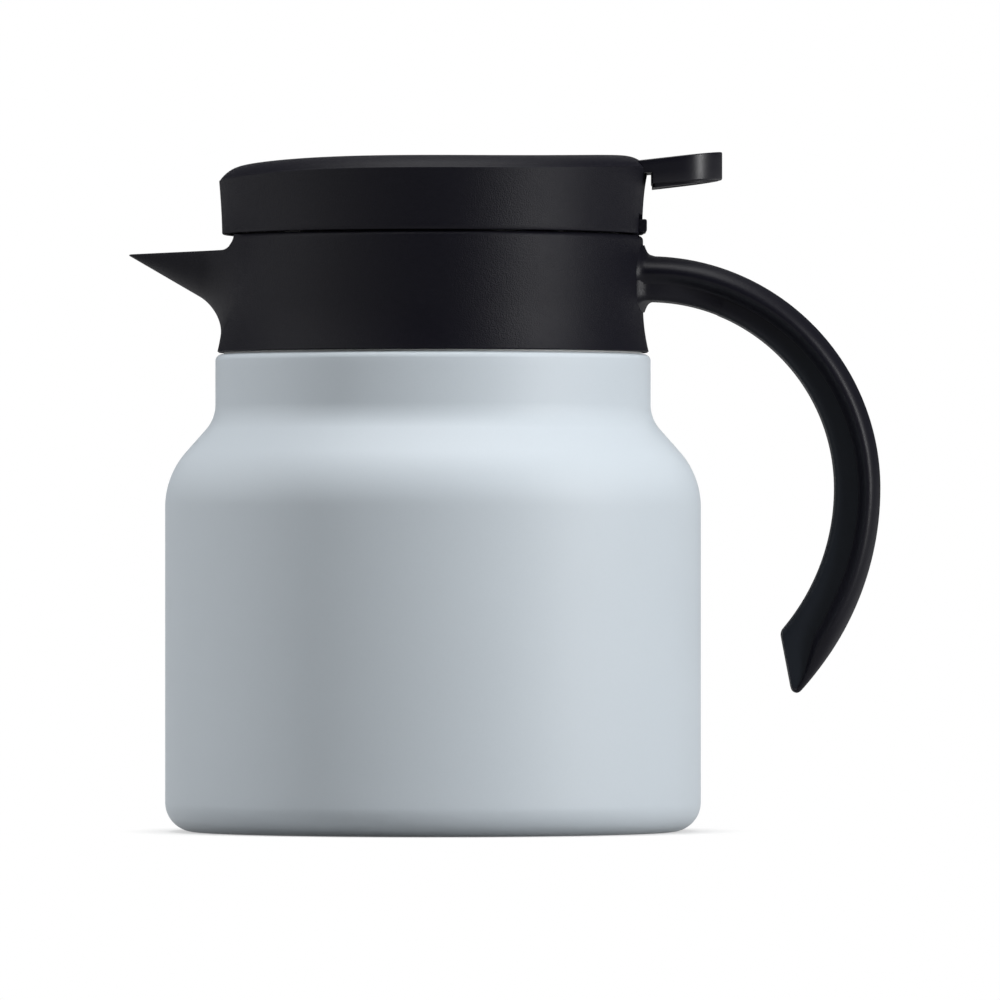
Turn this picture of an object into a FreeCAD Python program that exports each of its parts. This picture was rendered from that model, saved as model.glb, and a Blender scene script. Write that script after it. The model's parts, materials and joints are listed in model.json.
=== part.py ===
"""Thermal jug with a hinged lid, as an assembly of separate pieces.

Millimetres. The origin is the centre of the base on the jug's axis, +Z is up, the spout points to -X and
the handle to +X. Every piece is drawn from the values in the sheet, so a change there goes through all.
"""
import FreeCAD, Part
import math
import os
import Sketcher

V = FreeCAD.Vector
doc = FreeCAD.newDocument("thermal_jug")

# Driving sizes
SIZES = {
    "body_diameter": 128.0,
    "neck_setback": 12.0,
    "flask_height": 114.0,
    "neck_length": 12.0,
    "shoulder_angle": 41.5,
    "shoulder_neck_bend": 9.0,
    "shoulder_body_bend": 20.0,
    "base_bend": 7.0,
    "rim_bend": 1.6,
    "shell_wall": 0.6,
    "liner_wall": 0.5,
    "vacuum_gap": 3.6,
    "floor_gap": 6.0,
    "liner_floor_bend": 12.0,
    "foot_width": 3.0,
    "pan_height": 6.0,
    "pan_wall": 0.6,
    "cover_recess": 1.5,
    "cover_wall": 1.5,
    "cover_ring_width": 2.0,
    "cover_clearance": 0.25,
    "port_diameter": 3.0,
    "bead_diameter": 8.0,
    "bead_height": 1.6,
    "bead_clearance": 0.05,
    "clip_length": 24.0,
    "clip_width": 10.0,
    "clip_wall": 0.5,
    "clip_offset": 24.0,
    "getter_diameter": 8.0,
    "getter_height": 2.4,
    "thread_pitch": 5.0,
    "thread_turns": 1.25,
    "thread_depth": 1.4,
    "thread_root": 1.8,
    "thread_crest": 1.0,
    "thread_clearance": 0.4,
    "thread_flank_clearance": 0.15,
    "thread_start": 9.8,
    "gasket_height": 1.6,
    "gasket_margin": 0.4,
    "collar_gap": 0.25,
    "collar_height": 28.0,
    "collar_setback": 1.8,
    "collar_flare": 1.4,
    "collar_flare_lap": 3.0,
    "collar_wall": 2.0,
    "collar_edge": 1.2,
    "collar_edge_angle": 312.0,
    "ledge_height": 6.8,
    "ledge_thickness": 2.0,
    "ledge_clearance": 0.2,
    "insert_clearance": 0.1,
    "insert_wall": 2.2,
    "insert_flange": 3.2,
    "insert_reach": 13.2,
    "ring_section": 1.4,
    "ring_groove_clearance": 0.1,
    "mouth_diameter": 74.4,
    "seat_height": 2.0,
    "deck_fall": 1.6,
    "deck_underside": 1.4,
    "spout_reach": 22.8,
    "spout_drop": 3.0,
    "spout_root_sink": 0.5,
    "spout_half_width": 15.6,
    "spout_side": 0.6,
    "spout_tip_half_width": 1.2,
    "spout_wall": 1.6,
    "spout_root_bend": 5.5,
    "handle_root_height": 12.6,
    "handle_root_run": 1.2,
    "handle_root_sink": 0.3,
    "handle_root_bend": 1.4,
    "handle_bend": 44.6,
    "handle_thickness": 10.8,
    "handle_outer_low_bend": 71.0,
    "handle_inner_low_bend": 52.0,
    "handle_outer_low_angle": 44.0,
    "handle_inner_low_angle": 41.3,
    "handle_split_low_angle": 44.9,
    "handle_width": 25.0,
    "handle_edge": 3.4,
    "cover_thickness": 5.4,
    "cover_start_angle": 68.0,
    "cover_width": 17.0,
    "cover_edge": 1.2,
    "tongue_width": 9.0,
    "tongue_depth": 2.2,
    "tongue_margin_angle": 6.0,
    "tongue_end_angle": 0.15,
    "tongue_clearance": 0.1,
    "seam_gap": 0.7,
    "lid_setback": 1.6,
    "lid_skirt_height": 7.0,
    "lid_crest_height": 14.1,
    "lid_flare": 1.0,
    "lid_tilt": 1.8,
    "lid_crown": 2.4,
    "lid_crown_edge": 2.2,
    "lid_wall": 2.2,
    "lid_roof": 2.4,
    "hinge_inset": 0.9,
    "hinge_barrel": 3.5,
    "hinge_pin_diameter": 1.8,
    "pin_running_clearance": 0.05,
    "pin_fixed_clearance": 0.02,
    "knuckle_width": 12.0,
    "lug_width": 4.0,
    "lug_side_clearance": 0.3,
    "lug_stem": 2.4,
    "lug_swing_clearance": 0.8,
    "tab_reach": 17.7,
    "tab_width": 22.0,
    "tab_lean": 3.2,
    "tab_sink": 0.5,
    "tab_depth": 6.6,
    "tab_plate": 3.3,
    "tab_gap": 0.8,
    "tab_corner": 7.0,
    "tab_wall": 3.0,
    "tab_cover_wall": 1.6,
    "tab_cover_clearance": 0.1,
    "plug_clearance": 1.6,
    "plug_reach": 24.0,
    "plug_wall": 2.0,
    "plate_wall": 2.0,
    "plate_clearance": 0.4,
    "plate_lift": 0.6,
    "plate_hole_clearance": 0.1,
    "seal_height": 3.0,
    "seal_depth": 1.4,
    "seal_gap": 0.14,
    "foam_clearance": 0.3,
    "foam_rise": 5.0,
    "screw_circle": 82.0,
    "screw_diameter": 2.2,
    "screw_length": 7.0,
    "screw_head_diameter": 5.0,
    "screw_head_height": 1.6,
    "screw_clearance": 0.05,
    "boss_diameter": 6.0,
}

sheet = doc.addObject("Spreadsheet::Sheet", "Dims")
for row, (alias, number) in enumerate(SIZES.items(), start=1):
    sheet.set("A%d" % row, alias)
    sheet.set("B%d" % row, repr(number))
    sheet.setAlias("B%d" % row, alias)
doc.recompute()


class Size:
    """A length or an angle that keeps its value together with the expression that gives it."""

    def __init__(self, value, text):
        self.value = value
        self.text = text

    @staticmethod
    def of(other):
        return other if isinstance(other, Size) else Size(float(other), repr(float(other)))

    def __add__(self, other):
        other = Size.of(other)
        return Size(self.value + other.value, "(%s + %s)" % (self.text, other.text))

    def __sub__(self, other):
        other = Size.of(other)
        return Size(self.value - other.value, "(%s - %s)" % (self.text, other.text))

    def __mul__(self, other):
        other = Size.of(other)
        return Size(self.value * other.value, "(%s * %s)" % (self.text, other.text))

    def __truediv__(self, other):
        other = Size.of(other)
        return Size(self.value / other.value, "(%s / %s)" % (self.text, other.text))

    def __radd__(self, other):
        return Size.of(other) + self

    def __rsub__(self, other):
        return Size.of(other) - self

    def __rmul__(self, other):
        return Size.of(other) * self

    def __neg__(self):
        return Size(-self.value, "(0 - %s)" % self.text)


def sin(angle):
    return Size(math.sin(math.radians(angle.value)), "sin(%s * 1 deg)" % angle.text)


def cos(angle):
    return Size(math.cos(math.radians(angle.value)), "cos(%s * 1 deg)" % angle.text)


def tan(angle):
    return Size(math.tan(math.radians(angle.value)), "tan(%s * 1 deg)" % angle.text)


def sqrt(size):
    return Size(math.sqrt(size.value), "sqrt(%s)" % size.text)


def smaller(one, two):
    one, two = Size.of(one), Size.of(two)
    return Size(min(one.value, two.value), "min(%s; %s)" % (one.text, two.text))


class Dims:
    """The sheet's values by name."""

    def __getattr__(self, alias):
        return Size(float(sheet.get(alias)), "Dims.%s" % alias)


D = Dims()
ZERO = Size.of(0.0)


# Sketches and features


def new_body(name):
    body = doc.addObject("PartDesign::Body", name)
    body.Label = name
    return body


def sketch_on(body, name, plane="XZ_Plane", offset=None, tilt=None):
    """An empty sketch on a plane of the body's own origin, moved along its normal and tilted if asked."""
    sketch = body.newObject("Sketcher::SketchObject", name)
    support = next(f for f in body.Origin.OriginFeatures if f.Role == plane)
    sketch.AttachmentSupport = [(support, "")]
    sketch.MapMode = "FlatFace"
    if tilt is not None:
        turn = FreeCAD.Rotation(V(0, -1, 0), tilt.value)
        sketch.AttachmentOffset = FreeCAD.Placement(V(0, 0, offset.value), turn)
        sketch.setExpression(".AttachmentOffset.Rotation.Angle", "(%s) * 1 deg" % tilt.text)
    elif offset is not None:
        sketch.AttachmentOffset = FreeCAD.Placement(V(0, 0, offset.value), FreeCAD.Rotation())
    if offset is not None:
        sketch.setExpression(".AttachmentOffset.Base.z", offset.text)
    return sketch


def outline(sketch, corners):
    """A closed outline. Each corner is (x, y) with a straight run to the next one, or (x, y, radius, side)
    with an arc to the next one whose centre lies on the left (+1) or on the right (-1) of the way."""
    ends = []
    rules = []
    bound = []
    first = sketch.GeometryCount
    for i, corner in enumerate(corners):
        after = corners[(i + 1) % len(corners)]
        p = V(Size.of(corner[0]).value, Size.of(corner[1]).value, 0)
        q = V(Size.of(after[0]).value, Size.of(after[1]).value, 0)
        geo = first + i
        if len(corner) == 2:
            sketch.addGeometry(Part.LineSegment(p, q), False)
            ends.append((geo, 1, 2))
        else:
            radius, side = corner[2], corner[3]
            half = (q - p) * 0.5
            rise = math.sqrt(max(radius.value**2 - half.Length**2, 0.0))
            normal = V(-half.y, half.x, 0).normalize()
            centre = p + half + normal * (rise * side)
            start, stop = (p, q) if side > 0 else (q, p)
            a = math.atan2(start.y - centre.y, start.x - centre.x)
            b = math.atan2(stop.y - centre.y, stop.x - centre.x)
            circle = Part.Circle(centre, V(0, 0, 1), radius.value)
            sketch.addGeometry(Part.ArcOfCircle(circle, a, b), False)
            ends.append((geo, 1, 2) if side > 0 else (geo, 2, 1))
            rules.append(Sketcher.Constraint("Radius", geo, radius.value))
            bound.append((len(rules) - 1, radius))
    for i, (geo, start, stop) in enumerate(ends):
        after = ends[(i + 1) % len(ends)]
        rules.append(Sketcher.Constraint("Coincident", geo, stop, after[0], after[1]))
        for kind, size in (("DistanceX", corners[i][0]), ("DistanceY", corners[i][1])):
            size = Size.of(size)
            rules.append(Sketcher.Constraint(kind, geo, start, size.value))
            bound.append((len(rules) - 1, size))
    base = sketch.ConstraintCount
    sketch.addConstraint(rules)
    for index, size in bound:
        if "Dims." in size.text:
            sketch.setExpression("Constraints[%d]" % (base + index), size.text)


def ring(sketch, x, y, radius):
    """A circle bound by its centre and its radius."""
    geo = sketch.addGeometry(Part.Circle(V(x.value, y.value, 0), V(0, 0, 1), radius.value), False)
    base = sketch.ConstraintCount
    sketch.addConstraint([
        Sketcher.Constraint("DistanceX", geo, 3, x.value),
        Sketcher.Constraint("DistanceY", geo, 3, y.value),
        Sketcher.Constraint("Radius", geo, radius.value),
    ])
    for index, size in enumerate((x, y, radius)):
        if "Dims." in size.text:
            sketch.setExpression("Constraints[%d]" % (base + index), size.text)


def turned(body, name, corners, kind="Revolution"):
    """A full turn of an outline in the XZ plane about the jug's axis."""
    sketch = sketch_on(body, name + "_outline")
    outline(sketch, corners)
    feature = body.newObject("PartDesign::" + kind, name)
    feature.Profile = sketch
    feature.ReferenceAxis = (sketch, ["V_Axis"])
    feature.Angle = 360.0
    doc.recompute()
    return feature


def extruded(body, name, sketch, length, kind="Pad", symmetric=True, reverse=False):
    """A straight pad or pocket of a sketch."""
    feature = body.newObject("PartDesign::" + kind, name)
    feature.Profile = sketch
    feature.SideType = "Symmetric" if symmetric else "One side"
    feature.Reversed = reverse
    feature.setExpression("Length", length.text)
    doc.recompute()
    return feature


def slab(body, name, corners, width, kind="Pad", plane="XZ_Plane"):
    """A pad or pocket of a side outline, with half of its width on each side of the plane."""
    sketch = sketch_on(body, name + "_outline", plane)
    outline(sketch, corners)
    return extruded(body, name, sketch, width, kind)


def lofted(body, name, sketches, kind="AdditiveLoft", ruled=False):
    feature = body.newObject("PartDesign::" + kind, name)
    feature.Profile = sketches[0]
    feature.Sections = sketches[1:]
    feature.Ruled = ruled
    doc.recompute()
    return feature


def helix(body, name, corners, pitch, turns):
    """A right-hand ridge along a helix about the jug's axis."""
    sketch = sketch_on(body, name + "_outline")
    outline(sketch, corners)
    feature = body.newObject("PartDesign::AdditiveHelix", name)
    feature.Profile = sketch
    feature.ReferenceAxis = (sketch, ["V_Axis"])
    feature.Mode = "pitch-turns-angle"
    feature.setExpression("Pitch", pitch.text)
    feature.setExpression("Turns", turns.text)
    doc.recompute()
    return feature


def edges_where(feature, test):
    """Names of the edges of a feature whose shape passes the test."""
    return ["Edge%d" % (i + 1) for i, edge in enumerate(feature.Shape.Edges) if test(edge)]


def rounded(body, name, base, test, radius):
    feature = body.newObject("PartDesign::Fillet", name)
    feature.Base = (base, edges_where(base, test))
    feature.setExpression("Radius", radius.text)
    doc.recompute()
    return feature


def near(value, size, slack=0.02):
    return abs(value - Size.of(size).value) < slack


def mid(edge):
    return edge.valueAt((edge.FirstParameter + edge.LastParameter) / 2)


# Shared radii and heights
body_r = D.body_diameter / 2
neck_r = body_r - D.neck_setback
rim_z = D.flask_height
angle = D.shoulder_angle
step = body_r - neck_r
bends = D.shoulder_neck_bend + D.shoulder_body_bend
bend_share = smaller(1.0, step * 0.9 / (bends * (1 - cos(angle))))
neck_bend = D.shoulder_neck_bend * bend_share
body_bend = D.shoulder_body_bend * bend_share
slope_run = (step - (neck_bend + body_bend) * (1 - cos(angle))) / sin(angle)
shoulder_top = rim_z - D.neck_length
shoulder_low = shoulder_top - (neck_bend + body_bend) * sin(angle) - slope_run * cos(angle)
foot_r = body_r - D.base_bend - D.foot_width
liner_out = D.shell_wall + D.vacuum_gap
liner_in = liner_out + D.liner_wall
bore_r = neck_r - liner_in
pan_top = D.pan_height
liner_floor = pan_top + D.floor_gap


def shoulder(inset, up):
    """The shoulder line set in from the outside of the shell, from the body up to the neck or back down."""
    outer_x = neck_r + neck_bend
    inner_x = body_r - body_bend
    neck_arc = neck_bend + inset
    body_arc = body_bend - inset
    low = (body_r - inset, shoulder_low)
    low_end = (inner_x + body_arc * cos(angle), shoulder_low + body_arc * sin(angle))
    top_start = (outer_x - neck_arc * cos(angle), shoulder_top - neck_arc * sin(angle))
    top = (neck_r - inset, shoulder_top)
    if up:
        return [low + (body_arc, 1), low_end, top_start + (neck_arc, -1), top]
    return [top + (neck_arc, 1), top_start, low_end + (body_arc, -1), low]


# Outer shell
outer_shell = new_body("outer_shell")
wall = D.shell_wall
turned(outer_shell, "shell_turn", [
    (foot_r, ZERO),
    (body_r - D.base_bend, ZERO, D.base_bend, 1),
    (body_r, D.base_bend),
    *shoulder(ZERO, True),
    (neck_r, rim_z - D.rim_bend, D.rim_bend, 1),
    (neck_r - D.rim_bend, rim_z),
    (neck_r - liner_out, rim_z),
    (neck_r - liner_out, rim_z - wall),
    (neck_r - D.rim_bend, rim_z - wall, D.rim_bend - wall, -1),
    (neck_r - wall, rim_z - D.rim_bend),
    *shoulder(wall, False),
    (body_r - wall, D.base_bend, D.base_bend - wall, -1),
    (body_r - D.base_bend, wall),
    (foot_r, wall),
])

# Inner liner with the rolled thread in its neck
thread_low = rim_z - D.thread_start
crest_r = bore_r - D.thread_clearance
core_r = crest_r - D.thread_depth
ridge_r = core_r + D.thread_clearance
root_half = D.thread_root / 2
tip_half = D.thread_crest / 2
flank = (root_half - tip_half) / D.thread_depth
inner_liner = new_body("inner_liner")
floor_bend = D.liner_floor_bend
turned(inner_liner, "liner_turn", [
    (ZERO, liner_floor),
    (body_r - liner_out - floor_bend, liner_floor, floor_bend, 1),
    (body_r - liner_out, liner_floor + floor_bend),
    *shoulder(liner_out, True),
    (neck_r - liner_out, rim_z),
    (bore_r, rim_z),
    *shoulder(liner_in, False),
    (body_r - liner_in, liner_floor + floor_bend, floor_bend - D.liner_wall, -1),
    (body_r - liner_out - floor_bend, liner_floor + D.liner_wall),
    (ZERO, liner_floor + D.liner_wall),
])
sunk = D.liner_wall / 2
helix(inner_liner, "liner_thread", [
    (ridge_r, thread_low - tip_half),
    (bore_r + sunk, thread_low - root_half - flank * sunk),
    (bore_r + sunk, thread_low + root_half + flank * sunk),
    (ridge_r, thread_low + tip_half),
], D.thread_pitch, D.thread_turns)

# Base pan, its seal bead and the getter
port_r = D.port_diameter / 2
pan_low = pan_top - D.pan_wall
base_pan = new_body("base_pan")
turned(base_pan, "pan_turn", [
    (foot_r - D.pan_wall, ZERO),
    (foot_r, ZERO),
    (foot_r, pan_top),
    (port_r, pan_top),
    (port_r, pan_low),
    (foot_r - D.pan_wall, pan_low),
])

vacuum_seal = new_body("vacuum_seal")
bead_r = D.bead_diameter / 2
dome = (bead_r * bead_r + D.bead_height * D.bead_height) / (2 * D.bead_height)
turned(vacuum_seal, "bead_turn", [
    (ZERO, pan_low - D.bead_height, dome, 1),
    (bead_r, pan_low),
    (port_r - D.bead_clearance, pan_low),
    (port_r - D.bead_clearance, pan_top),
    (ZERO, pan_top),
])

base_cover = new_body("base_cover")
cover_r = foot_r - D.pan_wall - D.cover_clearance
cover_top = D.cover_recess + D.cover_wall
turned(base_cover, "cover_turn", [
    (ZERO, D.cover_recess),
    (cover_r, D.cover_recess),
    (cover_r, pan_low),
    (cover_r - D.cover_ring_width, pan_low),
    (cover_r - D.cover_ring_width, cover_top),
    (ZERO, cover_top),
])

getter_clip = new_body("getter_clip")
clip_top = pan_top + D.clip_wall
clip_low = D.clip_offset - D.clip_length / 2
slab(getter_clip, "clip_strip", [
    (clip_low, pan_top),
    (clip_low + D.clip_length, pan_top),
    (clip_low + D.clip_length, clip_top),
    (clip_low, clip_top),
], D.clip_width)

getter_pellet = new_body("getter_pellet")
pellet = sketch_on(getter_pellet, "pellet_outline", "XY_Plane", clip_top)
ring(pellet, D.clip_offset, ZERO, D.getter_diameter / 2)
extruded(getter_pellet, "pellet_pad", pellet, D.getter_height, symmetric=False)

# Neck gasket
gasket_in = bore_r + D.gasket_margin
gasket_out = neck_r - D.rim_bend - D.gasket_margin
gasket_top = rim_z + D.gasket_height
neck_gasket = new_body("neck_gasket")
turned(neck_gasket, "gasket_turn", [
    (gasket_in, rim_z),
    (gasket_out, rim_z),
    (gasket_out, gasket_top),
    (gasket_in, gasket_top),
])

# Collar: ring, spout, hinge lugs and the rail of the handle. The ring is drawn tall and cut to the line of
# its top once the spout's root is rounded.
collar_r = neck_r - D.collar_setback
collar_in = collar_r - D.collar_wall
collar_low = rim_z + D.collar_gap
collar_top = rim_z + D.collar_height
spout_top = collar_top - D.spout_drop
spout_axis = spout_top - D.spout_side
flare_top = spout_axis - D.spout_half_width + D.collar_flare_lap
flare_height = flare_top - collar_low
flare_square = D.collar_flare * D.collar_flare + flare_height * flare_height
flare_bend = flare_square / (2 * D.collar_flare)
ledge_top = rim_z + D.ledge_height
ledge_low = ledge_top - D.ledge_thickness
ledge_in = crest_r + D.ledge_clearance
blank_top = collar_top + D.spout_half_width + D.spout_root_bend
collar = new_body("collar")
turned(collar, "collar_turn", [
    (collar_in, gasket_top),
    (collar_r, gasket_top),
    (collar_r, blank_top),
    (collar_in, blank_top),
    (collar_in, ledge_top),
    (ledge_in, ledge_top),
    (ledge_in, ledge_low),
    (collar_in, ledge_low - (collar_in - ledge_in)),
])

# Flared foot of the collar
lip_in = gasket_out + D.gasket_margin / 2
turned(collar, "collar_foot", [
    (lip_in, collar_low),
    (collar_r + D.collar_flare, collar_low, flare_bend, -1),
    (collar_r, flare_top),
    (collar_r - D.collar_wall / 4, flare_top),
    (collar_r - D.collar_wall / 4, gasket_top),
    (lip_in, gasket_top),
])


def chord_x(half_width):
    """How far from the axis the collar's outside is at half of a width across it."""
    return sqrt(collar_r * collar_r - half_width * half_width)


# Outside of the spout: a cone about a level line
spout_root_x = chord_x(D.spout_half_width) - D.spout_root_sink
spout_tip_x = collar_r + D.spout_reach
spout_taper = (D.spout_half_width - D.spout_tip_half_width) / (spout_tip_x - spout_root_x)


def spout_cone(name, kind, root_x, root_r, tip_x, tip_r):
    """A full turn about the spout's level line."""
    sketch = sketch_on(collar, name + "_outline")
    sketch.AttachmentOffset = FreeCAD.Placement(V(0, spout_axis.value, 0), FreeCAD.Rotation())
    sketch.setExpression(".AttachmentOffset.Base.y", spout_axis.text)
    outline(sketch, [(-tip_x, ZERO), (-root_x, ZERO), (-root_x, root_r), (-tip_x, tip_r)])
    feature = collar.newObject("PartDesign::" + kind, name)
    feature.Profile = sketch
    feature.ReferenceAxis = (sketch, ["H_Axis"])
    feature.Angle = 360.0
    doc.recompute()
    return feature


spout_cone("spout_outside", "Revolution", spout_root_x, D.spout_half_width, spout_tip_x, D.spout_tip_half_width)


def on_collar(edge):
    ends = [v.Point for v in edge.Vertexes] + [mid(edge)]
    return all(near(math.hypot(p.x, p.y), collar_r, 0.01) for p in ends)


rounded(
    collar, "spout_root_round", collar.Tip,
    lambda e: mid(e).x < 0 and on_collar(e) and flare_top.value < mid(e).z - 0.1 < blank_top.value - 0.2,
    D.spout_root_bend,
)
sweep = D.spout_drop
slab(collar, "spout_top_line", [
    (-spout_tip_x * 1.1, spout_top),
    (-spout_root_x - sweep, spout_top, sweep, 1),
    (-spout_root_x, collar_top),
    (spout_tip_x, collar_top),
    (spout_tip_x, blank_top * 1.1),
    (-spout_tip_x * 1.1, blank_top * 1.1),
], collar_r * 4, "Pocket")
rim_round = turned(collar, "collar_top_round", [
    (collar_r - D.collar_edge, collar_top, D.collar_edge, -1),
    (collar_r, collar_top - D.collar_edge),
    (collar_r + D.collar_edge, collar_top - D.collar_edge),
    (collar_r + D.collar_edge, collar_top + D.collar_edge),
    (collar_r - D.collar_edge, collar_top + D.collar_edge),
], "Groove")
rim_round.Midplane = True
rim_round.setExpression("Angle", "%s * 1 deg" % D.collar_edge_angle.text)
doc.recompute()

# Rail of the handle
arc_x = collar_r + D.handle_root_run
arc_z = rim_z + D.handle_root_height - D.handle_bend
inner_bend = D.handle_bend
outer_bend = D.handle_bend + D.handle_thickness
outer_low_x = arc_x + outer_bend - D.handle_outer_low_bend
inner_low_x = arc_x + inner_bend - D.handle_inner_low_bend
half_width = D.handle_width / 2
root_x = chord_x(half_width) - D.handle_root_sink
split_low_bend = D.handle_inner_low_bend + D.cover_thickness
split_turn = D.handle_split_low_angle


def round_point(x, radius, turn):
    """A point on an arc about the handle's middle height, turned up from the level."""
    return (x + radius * cos(turn), arc_z + radius * sin(turn))


outer_tip = round_point(outer_low_x, D.handle_outer_low_bend, -D.handle_outer_low_angle)
inner_tip = round_point(inner_low_x, D.handle_inner_low_bend, -D.handle_inner_low_angle)
inner_start = round_point(arc_x, inner_bend, D.cover_start_angle)
inner_middle = (arc_x + inner_bend, arc_z)
groove_x = arc_x + D.cover_thickness
seam_start = round_point(groove_x, inner_bend, D.cover_start_angle)
seam_middle = (groove_x + inner_bend, arc_z)
seam_end = round_point(inner_low_x, split_low_bend, -split_turn)
slab(collar, "handle_rail", [
    (root_x, arc_z + inner_bend),
    (arc_x, arc_z + inner_bend, inner_bend, -1),
    inner_start,
    seam_start + (inner_bend, -1),
    seam_middle + (split_low_bend, -1),
    seam_end,
    outer_tip + (D.handle_outer_low_bend, 1),
    (arc_x + outer_bend, arc_z, outer_bend, 1),
    (arc_x, arc_z + outer_bend),
    (root_x, arc_z + outer_bend),
], D.handle_width)


seam_reach = outer_bend - D.handle_thickness / 3


def outer_edge(edge):
    """Long edges of the rail's outer side and its tip."""
    m = mid(edge)
    reach = math.hypot(m.x - arc_x.value, m.z - arc_z.value)
    beside = near(abs(m.y), half_width)
    long = edge.Length > D.handle_thickness.value * 2
    return beside and m.x > arc_x.value and long and reach > seam_reach.value


rounded(collar, "rail_round", collar.Tip, outer_edge, D.handle_edge)


def root_edge(edge):
    """Edges where the rail meets the collar, without the collar's own seam line."""
    m = mid(edge)
    inside = inner_bend.value - 1.0 < m.z - arc_z.value < outer_bend.value + 1.0
    return m.x > 0 and inside and on_collar(edge) and abs(m.y) > 0.1


rounded(collar, "rail_root_round", collar.Tip, root_edge, D.handle_root_bend)


# Groove in the rail for the tongue of its cover


def tongue_outline(depth, trim):
    """Side outline of the tongue, from inside the cover to its depth in the rail."""
    turn = D.cover_start_angle - D.tongue_margin_angle - trim
    low = -(split_turn - D.tongue_margin_angle - trim)
    under = D.cover_thickness / 4
    return [
        round_point(groove_x, inner_bend - under, turn) + (inner_bend - under, -1),
        (groove_x + inner_bend - under, arc_z, split_low_bend - under, -1),
        round_point(inner_low_x, split_low_bend - under, low),
        round_point(inner_low_x, split_low_bend + depth, low) + (split_low_bend + depth, 1),
        (groove_x + inner_bend + depth, arc_z, inner_bend + depth, 1),
        round_point(groove_x, inner_bend + depth, turn),
    ]


slab(collar, "rail_groove", tongue_outline(D.tongue_depth + D.tongue_clearance, ZERO), D.tongue_width, "Pocket")

# Hinge lugs on the collar's rear rim
hinge_x = collar_r - D.hinge_inset
lid_low = collar_top + D.seam_gap
barrel_r = D.hinge_barrel / 2
hinge_z = lid_low + barrel_r
lug_in = D.knuckle_width / 2 + D.lug_side_clearance
lug_out = lug_in + D.lug_width
lug_low = collar_top - D.lug_stem
lug_x = hinge_x - D.lug_stem
lug = sketch_on(collar, "lug_outline")
outline(lug, [
    (lug_x, lug_low),
    (hinge_x, lug_low),
    (hinge_x, hinge_z - barrel_r, barrel_r, 1),
    (hinge_x + barrel_r, hinge_z, barrel_r, 1),
    (hinge_x, hinge_z + barrel_r),
    (lug_x, hinge_z + barrel_r - D.lug_stem / 4),
])
extruded(collar, "lug_bar", lug, lug_out * 2)
slab(collar, "lug_gap", [
    (collar_in - D.lug_stem * 2, collar_top),
    (hinge_x + D.hinge_barrel, collar_top),
    (hinge_x + D.hinge_barrel, hinge_z + D.hinge_barrel),
    (collar_in - D.lug_stem * 2, hinge_z + D.hinge_barrel),
], lug_in * 2, "Pocket")
pin_r = D.hinge_pin_diameter / 2
lug_bore = sketch_on(collar, "lug_bore_outline")
ring(lug_bore, hinge_x, hinge_z, pin_r + D.pin_fixed_clearance)
extruded(collar, "lug_bore", lug_bore, lug_out * 3, "Pocket")

# Clear chamber inside the collar and the channel of the spout
turned(collar, "collar_chamber", [
    (ZERO, ledge_top),
    (collar_in, ledge_top),
    (collar_in, collar_top - D.lug_stem / 2),
    (ZERO, collar_top - D.lug_stem / 2),
], "Groove")
trough_x = collar_in - D.spout_wall * 2
trough_root = D.spout_half_width - D.spout_wall + spout_taper * (spout_root_x - trough_x)
trough_end = spout_tip_x - D.spout_wall / 2
spout_cone("spout_trough", "Groove", trough_x, trough_root, trough_end, D.spout_tip_half_width / 2)

# Cover on the inside of the handle
handle_cover = new_body("handle_cover")
slab(handle_cover, "cover_bar", [
    inner_start + (inner_bend, -1),
    inner_middle + (D.handle_inner_low_bend, -1),
    inner_tip,
    seam_end + (split_low_bend, 1),
    seam_middle + (inner_bend, 1),
    seam_start,
], D.cover_width)
slab(handle_cover, "cover_tongue", tongue_outline(D.tongue_depth, D.tongue_end_angle),
     D.tongue_width - D.tongue_clearance * 2)


def grip_edge(edge):
    """Long edges of the cover on the finger side."""
    m = mid(edge)
    beside = near(abs(m.y), D.cover_width / 2)
    upper = near(math.hypot(m.x - arc_x.value, m.z - arc_z.value), inner_bend, 0.05)
    lower = near(math.hypot(m.x - inner_low_x.value, m.z - arc_z.value), D.handle_inner_low_bend, 0.05)
    return beside and edge.Length > D.cover_width.value and (upper or lower)


rounded(handle_cover, "cover_round", handle_cover.Tip, grip_edge, D.cover_edge)

# Pour deck with the seat, and the threaded skirt under it
pour_deck = new_body("pour_deck")
deck_r = collar_in - D.insert_clearance
deck_top = ledge_top + D.insert_flange
groove_half = D.ring_section / 2 + D.ring_groove_clearance
groove_mid = ledge_top + D.insert_flange / 2
groove_r = collar_in - D.ring_section - D.ring_groove_clearance
skirt_low = rim_z - D.insert_reach
skirt_in = core_r - D.insert_wall
mouth_r = D.mouth_diameter / 2
seat_r = mouth_r + D.seat_height
seat_top = deck_top - D.deck_fall
seat_low = seat_top - D.seat_height
deck_low = seat_low - D.deck_underside
spigot_out = skirt_in - D.insert_clearance
turned(pour_deck, "deck_turn", [
    (spigot_out, deck_low),
    (spigot_out, ledge_top),
    (deck_r, ledge_top),
    (deck_r, groove_mid - groove_half),
    (groove_r, groove_mid - groove_half),
    (groove_r, groove_mid + groove_half),
    (deck_r, groove_mid + groove_half),
    (deck_r, deck_top),
    (seat_r, seat_top),
    (mouth_r, seat_low),
    (mouth_r, deck_low),
])
thread_skirt = new_body("thread_skirt")
turned(thread_skirt, "skirt_turn", [
    (skirt_in, skirt_low),
    (core_r, skirt_low),
    (core_r, ledge_top),
    (skirt_in, ledge_top),
])
thread_gap = root_half + tip_half - flank * D.thread_clearance + D.thread_flank_clearance
male_low = thread_low - thread_gap
bite = D.insert_wall / 4
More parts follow.
